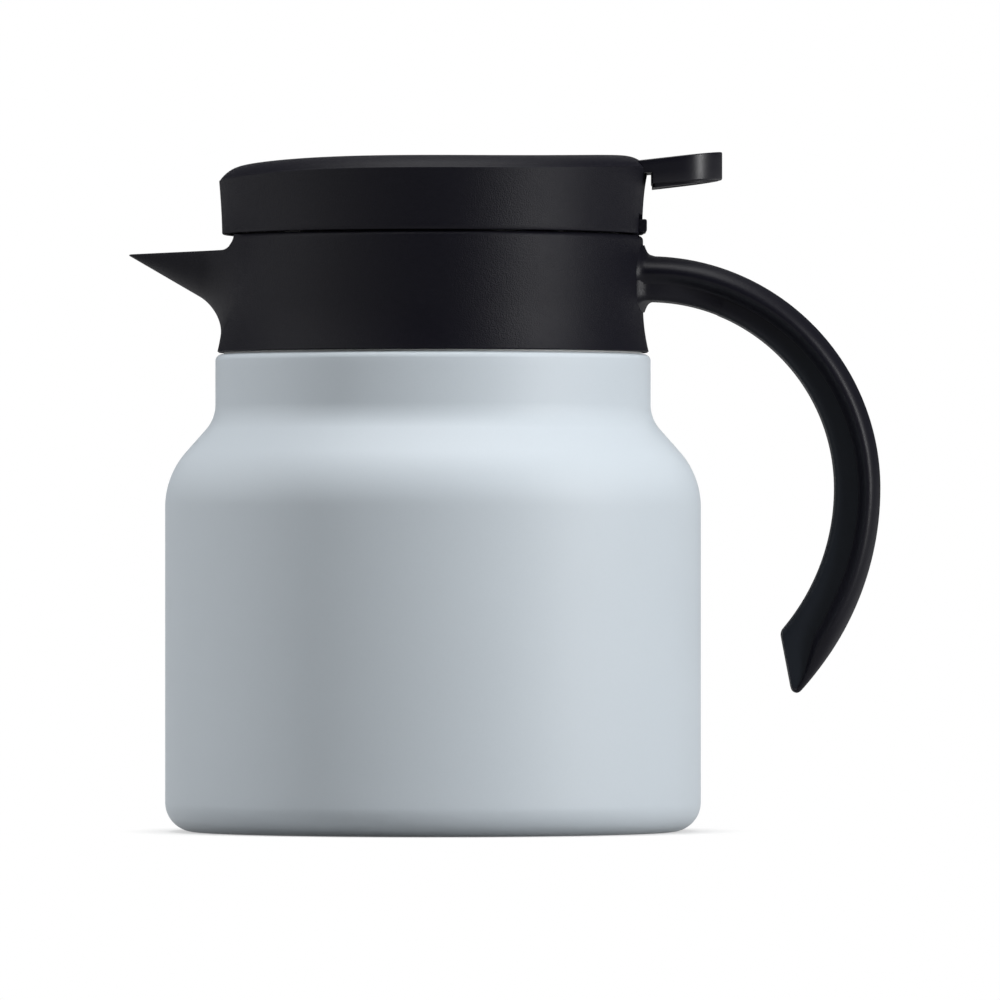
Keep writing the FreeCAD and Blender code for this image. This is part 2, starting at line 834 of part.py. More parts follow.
helix(thread_skirt, "skirt_thread", [
    (core_r - bite, male_low - root_half - flank * bite),
    (crest_r, male_low - tip_half),
    (crest_r, male_low + tip_half),
    (core_r - bite, male_low + root_half + flank * bite),
], D.thread_pitch, D.thread_turns)

insert_o_ring = new_body("insert_o_ring")
o_ring = sketch_on(insert_o_ring, "o_ring_outline")
ring(o_ring, collar_in - D.ring_section / 2, groove_mid, D.ring_section / 2)
o_ring_turn = insert_o_ring.newObject("PartDesign::Revolution", "o_ring_turn")
o_ring_turn.Profile = o_ring
o_ring_turn.ReferenceAxis = (o_ring, ["V_Axis"])
o_ring_turn.Angle = 360.0
doc.recompute()

# Hinge pin
hinge_pin = new_body("hinge_pin")
pin = sketch_on(hinge_pin, "pin_outline")
ring(pin, hinge_x, hinge_z, pin_r)
extruded(hinge_pin, "pin_rod", pin, (lug_out - D.lug_side_clearance) * 2)

# Lid shell: skirt, flare, crown and thumb tab
lid_r = neck_r - D.lid_setback
lid_in = lid_r - D.lid_wall
crest_z = lid_low + D.lid_crest_height
tilt = D.lid_tilt
crest_out = lid_r + D.lid_flare
lid_shell = new_body("lid_shell")


def lid_circle(name, z, radius, lean=None):
    sketch = sketch_on(lid_shell, name, "XY_Plane", z, lean)
    ring(sketch, ZERO, ZERO, radius)
    return sketch


skirt_top = lid_low + D.lid_skirt_height
lofted(lid_shell, "lid_skirt", [
    lid_circle("skirt_low", lid_low, lid_r),
    lid_circle("skirt_mid", lid_low + D.lid_skirt_height / 2, lid_r),
    lid_circle("skirt_top", skirt_top, lid_r, tilt * 0.25),
    lid_circle("skirt_flare", (skirt_top + crest_z) / 2, lid_r + D.lid_flare * 0.25, tilt * 0.6),
    lid_circle("skirt_crest", crest_z, crest_out, tilt),
])
crown_top = crest_z + D.lid_crown
crown = sketch_on(lid_shell, "crown_outline")
lean = FreeCAD.Rotation(V(0, 0, 1), tilt.value)
crown.AttachmentOffset = FreeCAD.Placement(V(0, crest_z.value, 0), lean)
crown.setExpression(".AttachmentOffset.Base.y", crest_z.text)
crown.setExpression(".AttachmentOffset.Rotation.Angle", "(%s) * 1 deg" % tilt.text)
outline(crown, [
    (ZERO, -D.lid_crown / 2),
    (lid_r, -D.lid_crown / 2),
    (crest_out, ZERO),
    (crest_out, D.lid_crown - D.lid_crown_edge, D.lid_crown_edge, 1),
    (crest_out - D.lid_crown_edge, D.lid_crown),
    (ZERO, D.lid_crown),
])
crown_turn = lid_shell.newObject("PartDesign::Revolution", "lid_crown")
crown_turn.Profile = crown
crown_turn.ReferenceAxis = (crown, ["V_Axis"])
crown_turn.Angle = 360.0
doc.recompute()

# Thumb tab
tab_lean = tilt + D.tab_lean
tab_root_x = lid_r - D.lid_wall / 2
tab_end_x = crest_out + D.tab_reach
tab_in_x = crest_out + D.tab_gap
tab_top = crown_top + lid_r * tan(tilt) - D.tab_sink


def tab_z(x, drop):
    """Height on the tab at a distance from the axis, below its sloping top."""
    return tab_top + (x - lid_r) * tan(tab_lean) - drop


slab(lid_shell, "tab_block", [
    (tab_root_x, tab_z(tab_root_x, D.tab_plate)),
    (tab_in_x, tab_z(tab_in_x, D.tab_plate)),
    (tab_in_x, tab_z(tab_in_x, D.tab_depth)),
    (tab_end_x, tab_z(tab_end_x, D.tab_depth)),
    (tab_end_x, tab_z(tab_end_x, ZERO)),
    (tab_root_x, tab_z(tab_root_x, ZERO)),
], D.tab_width)
rounded(
    lid_shell, "tab_corners", lid_shell.Tip,
    lambda e: near(mid(e).x, tab_end_x) and near(abs(mid(e).y), D.tab_width / 2) and near(e.Length, D.tab_depth, 0.3),
    D.tab_corner,
)
cell_in = tab_in_x + D.tab_wall
cell_end = tab_end_x - D.tab_wall - D.tab_corner / 4
cell_width = D.tab_width - D.tab_wall * 2
slab(lid_shell, "tab_cell", [
    (cell_in, tab_z(cell_in, D.tab_depth + D.tab_wall)),
    (cell_end, tab_z(cell_end, D.tab_depth + D.tab_wall)),
    (cell_end, tab_z(cell_end, D.tab_plate)),
    (cell_in, tab_z(cell_in, D.tab_plate)),
], cell_width, "Pocket")

tab_cover = new_body("tab_cover")
closed_in = cell_in + D.tab_cover_clearance
closed_end = cell_end - D.tab_cover_clearance
slab(tab_cover, "tab_plate", [
    (closed_in, tab_z(closed_in, D.tab_depth)),
    (closed_end, tab_z(closed_end, D.tab_depth)),
    (closed_end, tab_z(closed_end, D.tab_depth - D.tab_cover_wall)),
    (closed_in, tab_z(closed_in, D.tab_depth - D.tab_cover_wall)),
], cell_width - D.tab_cover_clearance * 2)

# Inside of the lid shell
roof_z = crown_top - D.lid_roof
lofted(lid_shell, "lid_hollow", [
    lid_circle("hollow_low", lid_low - D.lid_wall, lid_in),
    lid_circle("hollow_top", roof_z, lid_in, tilt),
], "SubtractiveLoft", ruled=True)

# Hinge knuckle and the slots for the lugs
knuckle = sketch_on(lid_shell, "knuckle_outline")
outline(knuckle, [
    (hinge_x - barrel_r, hinge_z - barrel_r),
    (hinge_x, hinge_z - barrel_r, barrel_r, 1),
    (hinge_x + barrel_r, hinge_z, barrel_r, 1),
    (hinge_x, hinge_z + barrel_r),
    (hinge_x - barrel_r, hinge_z + barrel_r),
])
extruded(lid_shell, "lid_knuckle", knuckle, D.knuckle_width)
slot_top = hinge_z + barrel_r + D.lug_swing_clearance
slot_in = lug_in - D.lug_side_clearance
slot_out = lug_out + D.lug_side_clearance
slots = sketch_on(lid_shell, "lug_slot_outline", "YZ_Plane", hinge_x - D.lug_stem * 2)
for side in (1, -1):
    outline(slots, [
        (slot_in * side, lid_low - D.lid_wall),
        (slot_out * side, lid_low - D.lid_wall),
        (slot_out * side, slot_top),
        (slot_in * side, slot_top),
    ])
extruded(lid_shell, "lug_slots", slots, D.lug_stem * 4, "Pocket", symmetric=False, reverse=True)
lid_bore = sketch_on(lid_shell, "lid_bore_outline")
ring(lid_bore, hinge_x, hinge_z, pin_r + D.pin_running_clearance)
extruded(lid_shell, "lid_bore", lid_bore, lug_out * 3, "Pocket")

# Screw bosses under the roof
plate_low = lid_low + D.plate_lift
plate_top = plate_low + D.plate_wall
screw_r = D.screw_circle / 2
screw_x = screw_r * cos(Size.of(45.0))
screw_places = ((1, 1), (-1, 1), (-1, -1), (1, -1))
for name, x in (("rear", 1), ("front", -1)):
    boss = sketch_on(lid_shell, name + "_boss_outline", "XY_Plane", plate_top)
    for y in (1, -1):
        ring(boss, screw_x * x, screw_x * y, D.boss_diameter / 2)
    boss_top = roof_z + screw_x * tan(tilt) * x + D.lid_roof / 2
    extruded(lid_shell, name + "_bosses", boss, boss_top - plate_top, symmetric=False)
pilot = sketch_on(lid_shell, "pilot_outline", "XY_Plane", plate_top)
for x, y in screw_places:
    ring(pilot, screw_x * x, screw_x * y, D.screw_diameter / 2 + D.screw_clearance)
extruded(lid_shell, "lid_pilots", pilot, D.screw_length - D.plate_wall + D.screw_diameter / 2, "Pocket",
         symmetric=False, reverse=True)

# Plug under the lid with its plate, seal, foam and screws
plug_r = mouth_r - D.plug_clearance
plug_low = lid_low - D.plug_reach
seal_top = seat_top + D.seal_height / 4
seal_low = seal_top - D.seal_height
seal_in = plug_r - D.seal_depth
cup_r = plug_r - D.seal_depth - D.plug_wall
spigot_r = (cup_r + plug_r) / 2
lid_plug = new_body("lid_plug")
turned(lid_plug, "plug_turn", [
    (ZERO, plug_low),
    (plug_r, plug_low),
    (plug_r, seal_low),
    (seal_in, seal_low),
    (seal_in, seal_top),
    (plug_r, seal_top),
    (plug_r, plate_low),
    (spigot_r, plate_low),
    (spigot_r, plate_top),
    (cup_r, plate_top),
    (cup_r, plug_low + D.plug_wall),
    (ZERO, plug_low + D.plug_wall),
])

lid_plate = new_body("lid_plate")
plate_in = spigot_r + D.plate_hole_clearance
plate_r = lid_in - D.plate_clearance
turned(lid_plate, "plate_turn", [
    (plate_in, plate_low),
    (plate_r, plate_low),
    (plate_r, plate_top),
    (plate_in, plate_top),
])
notch_x = hinge_x - D.lug_stem * 2
slab(lid_plate, "plate_notch", [
    (notch_x, plate_low - D.plate_wall),
    (lid_r, plate_low - D.plate_wall),
    (lid_r, plate_top + D.plate_wall),
    (notch_x, plate_top + D.plate_wall),
], (slot_out + D.lug_side_clearance) * 2, "Pocket")
holes = sketch_on(lid_plate, "screw_hole_outline", "XY_Plane", plate_top)
for x, y in screw_places:
    ring(holes, screw_x * x, screw_x * y, D.screw_diameter / 2 + D.screw_clearance)
extruded(lid_plate, "screw_holes", holes, D.plate_wall * 2, "Pocket", symmetric=False)

lid_seal = new_body("lid_seal")
seal_cone = seat_r - seat_top - D.seal_gap
seal_foot = seal_low + seal_cone
seal_rise = seal_top - D.seal_height / 4
turned(lid_seal, "seal_turn", [
    (seal_in, seal_low),
    (seal_foot, seal_low),
    (seal_rise + seal_cone, seal_rise),
    (seal_rise + seal_cone, seal_top),
    (seal_in, seal_top),
])

lid_insulation = new_body("lid_insulation")
foam_low = plug_low + D.plug_wall
turned(lid_insulation, "foam_turn", [
    (ZERO, foam_low),
    (cup_r - D.foam_clearance, foam_low),
    (cup_r - D.foam_clearance, plate_top + D.foam_rise),
    (ZERO, plate_top + D.foam_rise),
])

plug_screws = doc.addObject("Part::Compound", "plug_screws")
plug_screws.Label = "plug_screws"
screws = []
for number, (x, y) in enumerate(screw_places, start=1):
    shank = doc.addObject("Part::Cylinder", "screw_shank_%d" % number)
    shank.setExpression("Radius", (D.screw_diameter / 2).text)
    shank.setExpression("Height", D.screw_length.text)
    head_part = doc.addObject("Part::Cylinder", "screw_head_%d" % number)
    head_part.setExpression("Radius", (D.screw_head_diameter / 2).text)
    head_part.setExpression("Height", D.screw_head_height.text)
    for piece, z in ((shank, plate_low), (head_part, plate_low - D.screw_head_height)):
        piece.setExpression(".Placement.Base.x", (screw_x * x).text)
        piece.setExpression(".Placement.Base.y", (screw_x * y).text)
        piece.setExpression(".Placement.Base.z", z.text)
    screw = doc.addObject("Part::MultiFuse", "screw_%d" % number)
    screw.Shapes = [shank, head_part]
    screws.append(screw)
plug_screws.Links = screws
doc.recompute()

# Checks and export
NODES = (
    "outer_shell", "inner_liner", "base_pan", "base_cover", "vacuum_seal", "getter_clip", "getter_pellet",
    "neck_gasket", "collar", "handle_cover", "pour_deck", "thread_skirt", "insert_o_ring", "hinge_pin",
    "lid_shell", "tab_cover", "lid_plate", "lid_plug", "lid_seal", "lid_insulation", "plug_screws",
)
broken = [o.Name for o in doc.Objects if "Invalid" in o.State or "Error" in o.State]
if broken:
    raise RuntimeError("features that failed: " + ", ".join(broken))
os.makedirs("parts", exist_ok=True)
for node in NODES:
    shape = doc.getObject(node).Shape
    if shape.isNull() or not shape.isValid():
        raise RuntimeError("the shape of %s is not valid" % node)
    shape.exportStep("parts/%s.step" % node)
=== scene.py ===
import json
import math

import bpy
import numpy as np
from bpy.props import FloatProperty, FloatVectorProperty, PointerProperty
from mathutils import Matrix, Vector


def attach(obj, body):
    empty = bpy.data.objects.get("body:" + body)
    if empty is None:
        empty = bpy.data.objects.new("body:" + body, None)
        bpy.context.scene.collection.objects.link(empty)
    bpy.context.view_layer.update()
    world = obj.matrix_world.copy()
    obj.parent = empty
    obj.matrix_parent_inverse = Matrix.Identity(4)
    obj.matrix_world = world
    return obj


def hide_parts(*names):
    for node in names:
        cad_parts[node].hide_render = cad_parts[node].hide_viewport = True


bl_info = {
    "name": "Thermal jug",
    "version": (1, 0, 0),
    "blender": (4, 5, 0),
    "location": "3D View > Sidebar > Jug",
    "description": "Builds the looks of a thermal jug with a hinged lid around its solid model",
    "category": "Add Mesh",
}

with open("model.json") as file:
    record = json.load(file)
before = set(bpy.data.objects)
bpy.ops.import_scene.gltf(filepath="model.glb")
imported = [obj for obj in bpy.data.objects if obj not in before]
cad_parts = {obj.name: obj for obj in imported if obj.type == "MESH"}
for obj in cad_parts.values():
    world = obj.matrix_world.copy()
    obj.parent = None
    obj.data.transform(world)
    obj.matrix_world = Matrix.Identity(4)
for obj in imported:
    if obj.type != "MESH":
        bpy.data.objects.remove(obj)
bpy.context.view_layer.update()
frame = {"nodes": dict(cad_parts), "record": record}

# Surfaces are worked out in millimetres and degrees, and written to the meshes in metres
MM = 0.001
UPRIGHT = 90.0
SHARP_ANGLE = math.radians(40.0)
HALVINGS = 42


# Settings


def length(name, description, default):
    """A size in metres."""
    return FloatProperty(name=name, description=description, default=default, min=0.0, unit="LENGTH")


def colour(name, description, default):
    """A linear colour."""
    return FloatVectorProperty(name=name, description=description, default=default, size=3, min=0.0, max=1.0,
                               subtype="COLOR")


class JugSizes(bpy.types.PropertyGroup):
    """Sizes of the new surfaces."""
    body_radius: length("Body radius", "Outside of the straight part of the flask", 0.064)
    neck_radius: length("Neck radius", "Outside of the flask's neck", 0.052)
    rim_height: length("Rim height", "Top of the flask's neck", 0.114)
    shell_wall: length("Shell wall", "Thickness of the flask's steel", 0.0006)
    collar_radius: length("Collar radius", "Outside of the collar above its flare", 0.0502)
    collar_flare: length("Collar flare", "How far the collar's foot stands out", 0.0014)
    collar_top: length("Collar top", "Height of the collar's rim", 0.14225)
    spout_tip: length("Spout tip", "Distance of the spout's tip from the axis", 0.073)
    spout_half_width: length("Spout half width", "Half of the spout's width at its root", 0.0156)
    spout_bend: length("Spout root", "Rounding where the spout meets the collar", 0.0055)
    handle_width: length("Handle width", "Width of the handle's rail", 0.025)
    cover_width: length("Cover width", "Width of the handle's inner cover", 0.017)
    root_bend: length("Handle root", "Rounding where the handle meets the collar", 0.0026)
    lid_radius: length("Lid radius", "Outside of the lid's skirt", 0.0504)
    lid_flare: length("Lid flare", "How far the lid's crest stands out", 0.0007)
    tab_width: length("Tab width", "Width of the thumb tab", 0.022)
    tab_corner: length("Tab corner", "Rounding of the thumb tab's outer corners", 0.0105)


class JugColours(bpy.types.PropertyGroup):
    """Colours of the finishes."""
    coat: colour("Powder coat", "Pale blue-grey coat of the flask", (0.430, 0.474, 0.512))
    black: colour("Black plastic", "Collar, rail and lid", (0.0034, 0.0033, 0.0060))
    satin: colour("Satin plastic", "Inside of the handle and the tab's underside", (0.0062, 0.0080, 0.0115))
    inner: colour("Inner plastic", "Deck, skirt and stopper", (0.016, 0.0162, 0.0175))
    base: colour("Base plastic", "Cover in the foot", (0.075, 0.083, 0.090))
    steel: colour("Steel", "Liner, pin and screws", (0.60, 0.59, 0.57))
    silicone: colour("Silicone", "Gasket and seals", (0.52, 0.53, 0.53))
    foam: colour("Foam", "Insulation in the stopper", (0.74, 0.70, 0.60))
    braze: colour("Braze", "Bead that closes the vacuum", (0.42, 0.25, 0.11))
    getter: colour("Getter", "Pellet in the vacuum space", (0.045, 0.045, 0.048))


# Meshes


def grid_quads(rows, columns, close_rows, close_columns):
    """Four corners of each cell of a grid of points, wrapped round where it is closed."""
    down = np.arange(rows if close_rows else rows - 1)
    along = np.arange(columns if close_columns else columns - 1)
    i, j = np.meshgrid(down, along, indexing="ij")
    near, far = i * columns, (i + 1) % rows * columns
    left, right = j, (j + 1) % columns
    return np.stack([near + left, near + right, far + right, far + left], axis=-1).reshape(-1, 4)


def new_object(name, points, faces, material):
    """Puts a mesh with one material in the scene."""
    mesh = bpy.data.meshes.new(name)
    mesh.from_pydata(points.tolist(), [], faces)
    mesh.materials.append(material)
    made = bpy.data.objects.new(name, mesh)
    bpy.context.scene.collection.objects.link(made)
    return made


class Surface:
    """Gathers closed grids of points into one mesh."""

    def __init__(self):
        self.points = []
        self.faces = []
        self.count = 0

    def add(self, points, close_rows=False, caps=False):
        """Adds a grid of rings. close_rows joins the last ring to the first, caps closes both end rings."""
        rows, columns = points.shape[:2]
        corners = points.reshape(-1, 3)
        faces = [grid_quads(rows, columns, close_rows, True)]
        if caps:
            ring = np.arange(columns)
            after = (ring + 1) % columns
            last = (rows - 1) * columns
            middle = rows * columns
            faces.append(np.stack([after, ring, np.full(columns, middle)], axis=1))
            faces.append(np.stack([last + ring, last + after, np.full(columns, middle + 1)], axis=1))
            corners = np.concatenate([corners, points[0].mean(0)[None], points[-1].mean(0)[None]])
        volume = sum(signed_volume(corners, part) for part in faces)
        for part in faces:
            outwards = part if volume > 0 else part[:, ::-1]
            self.faces += (outwards + self.count).tolist()
        self.points.append(corners)
        self.count += len(corners)

    def piece(self, name, body, node, slot, material):
        """Makes the object, which rides on a body and stands for a node of the solid model."""
        piece = new_object(name, np.concatenate(self.points) * MM, self.faces, material)
        mesh = piece.data
        mesh.polygons.foreach_set("use_smooth", np.ones(len(mesh.polygons), bool))
        mesh.set_sharp_from_angle(angle=SHARP_ANGLE)
        mesh.update()
        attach(piece, body)
        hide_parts(node)


def signed_volume(points, faces):
    """Sum of the volumes between the origin and each face, positive where faces point outwards."""
    a = points[faces[:, 0]]
    total = 0.0
    for k in range(1, faces.shape[1] - 1):
        total += np.einsum("ij,ij->i", a, np.cross(points[faces[:, k]], points[faces[:, k + 1]])).sum()
    return total / 6.0


def arc(x, z, radius, start, end, count):
    """Count points (x + radius cos a, z + radius sin a) for a from start to end in degrees."""
    a = np.radians(np.linspace(start, end, count))
    return np.stack([x + radius * np.cos(a), z + radius * np.sin(a)], axis=1)


def straight(start, end, count):
    """Count evenly spaced points from start to end."""
    return np.linspace(start, end, count)


def inwards(profile, depth):
    """A profile moved by depth to its left, along the normal of the chord between a point's neighbours."""
    along = np.gradient(profile, axis=0)
    along /= np.linalg.norm(along, axis=1, keepdims=True)
    return profile + depth * np.stack([-along[:, 1], along[:, 0]], axis=1)


def turned(profile, turns):
    """Lathe surface (r cos t, r sin t, z) of a profile of (r, z) points."""
    r, z = level_rows(profile, turns)
    return np.stack([r * np.cos(turns), r * np.sin(turns), z], axis=-1)


def level_rows(profile, turns):
    """Radii and heights of a profile that is the same at every turn, one row for each point."""
    points = np.array(profile)
    level = np.zeros(turns.shape)
    return points[:, :1] + level, points[:, 1:] + level


def bisected(low, high, inside):
    """Where a test along each ray changes from inside to outside, found by halving."""
    for _ in range(HALVINGS):
        middle = (low + high) / 2.0
        within = inside(middle)
        low = np.where(within, middle, low)
        high = np.where(within, high, middle)
    return (low + high) / 2.0


def eased(t):
    """Smooth step 3 t^2 - 2 t^3 between 0 and 1."""
    t = np.clip(t, 0.0, 1.0)
    return t * t * (3.0 - 2.0 * t)


# Flask

FLASK_STEPS = 256
FOOT_IN = 53.6
FOOT_BEND = 7.0
SHOULDER_Z = 77.45
SHOULDER_BEND = 20.0
SHOULDER_ANGLE = 41.5
HOLLOW_BEND = 9.0
NECK_LENGTH = 12.0
RIM_BEND = 1.6


class JUG_OT_flask(bpy.types.Operator):
    """Makes the coated outer shell of the flask"""
    bl_idname = "jug.flask"
    bl_label = "Flask"

    def execute(self, context):
        sizes = context.scene.jug_sizes
        profile = flask_profile(sizes.body_radius / MM, sizes.neck_radius / MM, sizes.rim_height / MM)
        wall = inwards(profile, sizes.shell_wall / MM)[::-1]
        loop = np.concatenate([profile, wall])
        turns = np.linspace(0.0, 2.0 * np.pi, FLASK_STEPS, endpoint=False)
        surface = Surface()
        surface.add(turned(loop, turns), close_rows=True)
        surface.piece("flask_shell", "flask", "outer_shell", "powder_coat", finishes()["powder_coat"])
        return {"FINISHED"}


def flask_profile(body, neck, top):
    """Outside of the flask: foot, corner, straight side, shoulder, hollow, neck and rolled rim."""
    hollow_z = top - NECK_LENGTH
    return np.concatenate([
        straight((FOOT_IN, 0.0), (body - FOOT_BEND, 0.0), 5)[:-1],
        arc(body - FOOT_BEND, FOOT_BEND, FOOT_BEND, -90.0, 0.0, 22)[:-1],
        straight((body, FOOT_BEND), (body, SHOULDER_Z), 26)[:-1],
        arc(body - SHOULDER_BEND, SHOULDER_Z, SHOULDER_BEND, 0.0, SHOULDER_ANGLE, 26),
        arc(neck + HOLLOW_BEND, hollow_z, HOLLOW_BEND, 180.0 + SHOULDER_ANGLE, 180.0, 18)[:-1],
        straight((neck, hollow_z), (neck, top - RIM_BEND), 8)[:-1],
        arc(neck - RIM_BEND, top - RIM_BEND, RIM_BEND, 0.0, 90.0, 10),
    ])


# Hinge: the lid's knuckle between two lugs of the collar

KNUCKLE_IN, KNUCKLE_OUT = 47.55, 51.0
KNUCKLE_LOW, KNUCKLE_TOP = 143.05, 146.05
KNUCKLE_HALF = 5.95
KNUCKLE_BEND = 0.45
LUG_X, LUG_NECK_X, LUG_LOW = 46.9, 49.0, 139.6
LUG_IN, LUG_OUT = 6.3, 10.3
HINGE_BEVEL = 0.35
HINGE_END = KNUCKLE_OUT - KNUCKLE_BEND
LUG = ((LUG_X, LUG_LOW), (LUG_NECK_X, LUG_LOW), (LUG_NECK_X, KNUCKLE_LOW), (HINGE_END, KNUCKLE_LOW))
KNUCKLE = ((KNUCKLE_IN, KNUCKLE_LOW), (HINGE_END, KNUCKLE_LOW))


def prism(outline, start, end, bevel):
    """An outline of (x, z) points carried along y, drawn in towards its middle at both ends."""
    way = math.copysign(bevel, end - start)
    middle = outline.mean(0)
    reach = np.linalg.norm(outline - middle, axis=1, keepdims=True)
    small = middle + (outline - middle) * (1.0 - bevel / reach)
    rows = [(small, start), (outline, start + way), (outline, end - way), (small, end)]
    return np.stack([np.stack([o[:, 0], np.full(len(o), y), o[:, 1]], axis=1) for o, y in rows])


def hinge_outline(corners, counts):
    """Outline of a lug or the knuckle: through corners to the square outer end that both have, and back."""
    x, z = corners[0]
    sides = [straight(a, b, count)[:-1] for a, b, count in zip(corners, corners[1:], counts)]
    return np.concatenate(sides + [
        arc(HINGE_END, KNUCKLE_LOW + KNUCKLE_BEND, KNUCKLE_BEND, -90.0, 0.0, 5),
        arc(HINGE_END, KNUCKLE_TOP - KNUCKLE_BEND, KNUCKLE_BEND, 0.0, 90.0, 5),
        straight((x, KNUCKLE_TOP), (x, z), counts[-1])[:-1],
    ])


# Collar with its spout

COLLAR_LOW = 114.4
COLLAR_IN = 48.2
FLARE_TOP = 125.8
SIDE_LOW = COLLAR_LOW + 0.3
FOOT_PROFILE = ((50.2, 115.6), (50.2, 114.7), (50.35, 114.45), (50.6, COLLAR_LOW), (51.2, COLLAR_LOW))
BORE_LOW = 124.3
LEDGE_IN = 47.1
LEDGE_PROFILE = (
    (COLLAR_IN, 124.0), (COLLAR_IN, 120.8), (LEDGE_IN, 120.8),
    (LEDGE_IN, 118.8), (COLLAR_IN, 117.7), (COLLAR_IN, 115.6),
)

# Level cones of the spout's outside and of its trough, given as x and radius at its root and tip
CONE_Z = 138.4
CONE_START_X = 40.0
CONE_ROOT_X = 47.215
CONE_TIP_RADIUS = 0.62
TROUGH = (45.0, 15.237, 72.2, 0.6)
TROUGH_BEND = 1.0

# Rim, finer on the spout: half of its angle, the angle of the change, and both rounds
SPOUT_TOP = 138.6
SPOUT_FALL = 0.032
SWEEP = 3.0
SPOUT_ANGLE, SPOUT_FADE = 20.5, 6.0
SPOUT_EDGE, COLLAR_EDGE = 0.3, 1.1
SPOUT_LIP, COLLAR_LIP = 0.25, 0.40
EDGE_FROM = 15.0
LIP_GAP = 0.03

# Rays from the axis, closer together towards the spout, and where the search along them starts
RAYS = 420
RAY_POWER = 2.2
RAY_LENGTH = 40.0
OUTSIDE_FROM, INSIDE_FROM, RIM_FROM = 45.0, 40.0, 130.0
RIM_MARGIN = 1.0


def cone_reach(r, phi, z, root_x, root_radius, tip_x, tip_radius):
    """Distance outside a level cone along the spout: hypot(y, z - CONE_Z) less its radius, cut off before
    its start and past its tip."""
    taper = (root_radius - tip_radius) / (tip_x - root_x)
    x = r * np.cos(phi)
    y = r * np.sin(phi)
    radius = root_radius - taper * (x - root_x)
    side = (np.hypot(y, z - CONE_Z) - radius) / math.hypot(1.0, taper)
    return np.maximum(np.maximum(side, x - tip_x), CONE_START_X - x)


def joined(a, b, bend):
    """Union of two shapes with a round of radius bend where they meet."""
    corner = np.hypot(np.maximum(bend - a, 0.0), np.maximum(bend - b, 0.0))
    return np.maximum(bend, np.minimum(a, b)) - corner


def collar_side(z, radius, flare):
    """Radius of the collar: straight above the flare's top, and below it an arc that swings out by flare."""
    drop = FLARE_TOP - COLLAR_LOW
    bend = (flare * flare + drop * drop) / (2.0 * flare)
    below = np.clip(FLARE_TOP - z, 0.0, drop)
    return radius + bend - np.sqrt(bend * bend - below * below)


def rim_line(x, top):
    """Height of the rim: level, with an elliptical sweep to the spout's edge, which falls to its tip."""
    sweep_x = CONE_ROOT_X + SWEEP
    run = np.clip(sweep_x - x, 0.0, SWEEP) / SWEEP
    fall = SPOUT_FALL * np.maximum(x - sweep_x, 0.0)
    return top - (top - SPOUT_TOP) * np.sqrt(1.0 - run * run) - fall


def collar_grid(sizes):
    """Collar and spout as radius over turn and height, solved along rays from the axis. The outside is the
    round union of collar and cone, the inside that of bore and trough, and both end at the rim line."""
    radius = sizes.collar_radius / MM
    flare = sizes.collar_flare / MM
    top = sizes.collar_top / MM
    tip = sizes.spout_tip / MM
    half = sizes.spout_half_width / MM
    bend = sizes.spout_bend / MM
    share = np.linspace(-1.0, 1.0, RAYS + 1)[1:]
    phi = np.pi * np.sign(share) * np.abs(share) ** RAY_POWER

    def solved(z, start, test):
        low = np.full(np.broadcast(z, phi).shape, start)
        return bisected(low, low + RAY_LENGTH, test)

    def outside(z):
        def solid(r):
            wall = r - collar_side(z, radius, flare)
            spout = cone_reach(r, phi, z, CONE_ROOT_X, half, tip, CONE_TIP_RADIUS)
            return joined(wall, spout, bend) < 0.0
        return solved(z, OUTSIDE_FROM, solid)

    def inside(z):
        def void(r):
            return joined(r - COLLAR_IN, cone_reach(r, phi, z, *TROUGH), TROUGH_BEND) < 0.0
        return solved(z, INSIDE_FROM, void)

    def rim(reach):
        def below(z):
            return z < rim_line(reach(z) * np.cos(phi), top)
        return bisected(np.full(phi.shape, RIM_FROM), np.full(phi.shape, top + RIM_MARGIN), below)

    rim_out, rim_in = rim(outside), rim(inside)
    away = eased((np.abs(phi) - math.radians(SPOUT_ANGLE)) / math.radians(SPOUT_FADE))
    edge = SPOUT_EDGE + (COLLAR_EDGE - SPOUT_EDGE) * away
    lip = SPOUT_LIP + (COLLAR_LIP - SPOUT_LIP) * away
    side_z = SIDE_LOW + np.linspace(0.0, 1.0, 64)[:, None] * (rim_out - edge - SIDE_LOW)
    turn = np.radians(np.linspace(EDGE_FROM, UPRIGHT, 6))[:, None]
    edge_r = outside(rim_out - edge) - edge * (1.0 - np.cos(turn))
    edge_z = rim_out - edge * (1.0 - np.sin(turn))
    turn = np.radians(np.linspace(UPRIGHT, 0.0, 5))[:, None]
    lip_r = inside(rim_in - lip) + lip * (1.0 - np.cos(turn))
    lip_z = rim_in - lip * (1.0 - np.sin(turn))
    across = np.linspace(0.0, 1.0, 12)[1:-1, None]
    top_r = edge_r[-1] + across * (lip_r[0] - edge_r[-1])
    top_z = rim_line(top_r * np.cos(phi), top)
    bore_z = rim_in - lip + np.linspace(LIP_GAP, 1.0, 44)[:, None] * (BORE_LOW - rim_in + lip)
    rows = [
        level_rows(FOOT_PROFILE, phi),
        (outside(side_z), side_z),
        (edge_r, edge_z),
        (top_r, top_z),
        (lip_r, lip_z),
        (inside(bore_z), bore_z),
        level_rows(LEDGE_PROFILE, phi),
    ]
    r, z = (np.concatenate(part) for part in zip(*rows))
    return np.stack([-r * np.cos(phi), -r * np.sin(phi), z], axis=-1)


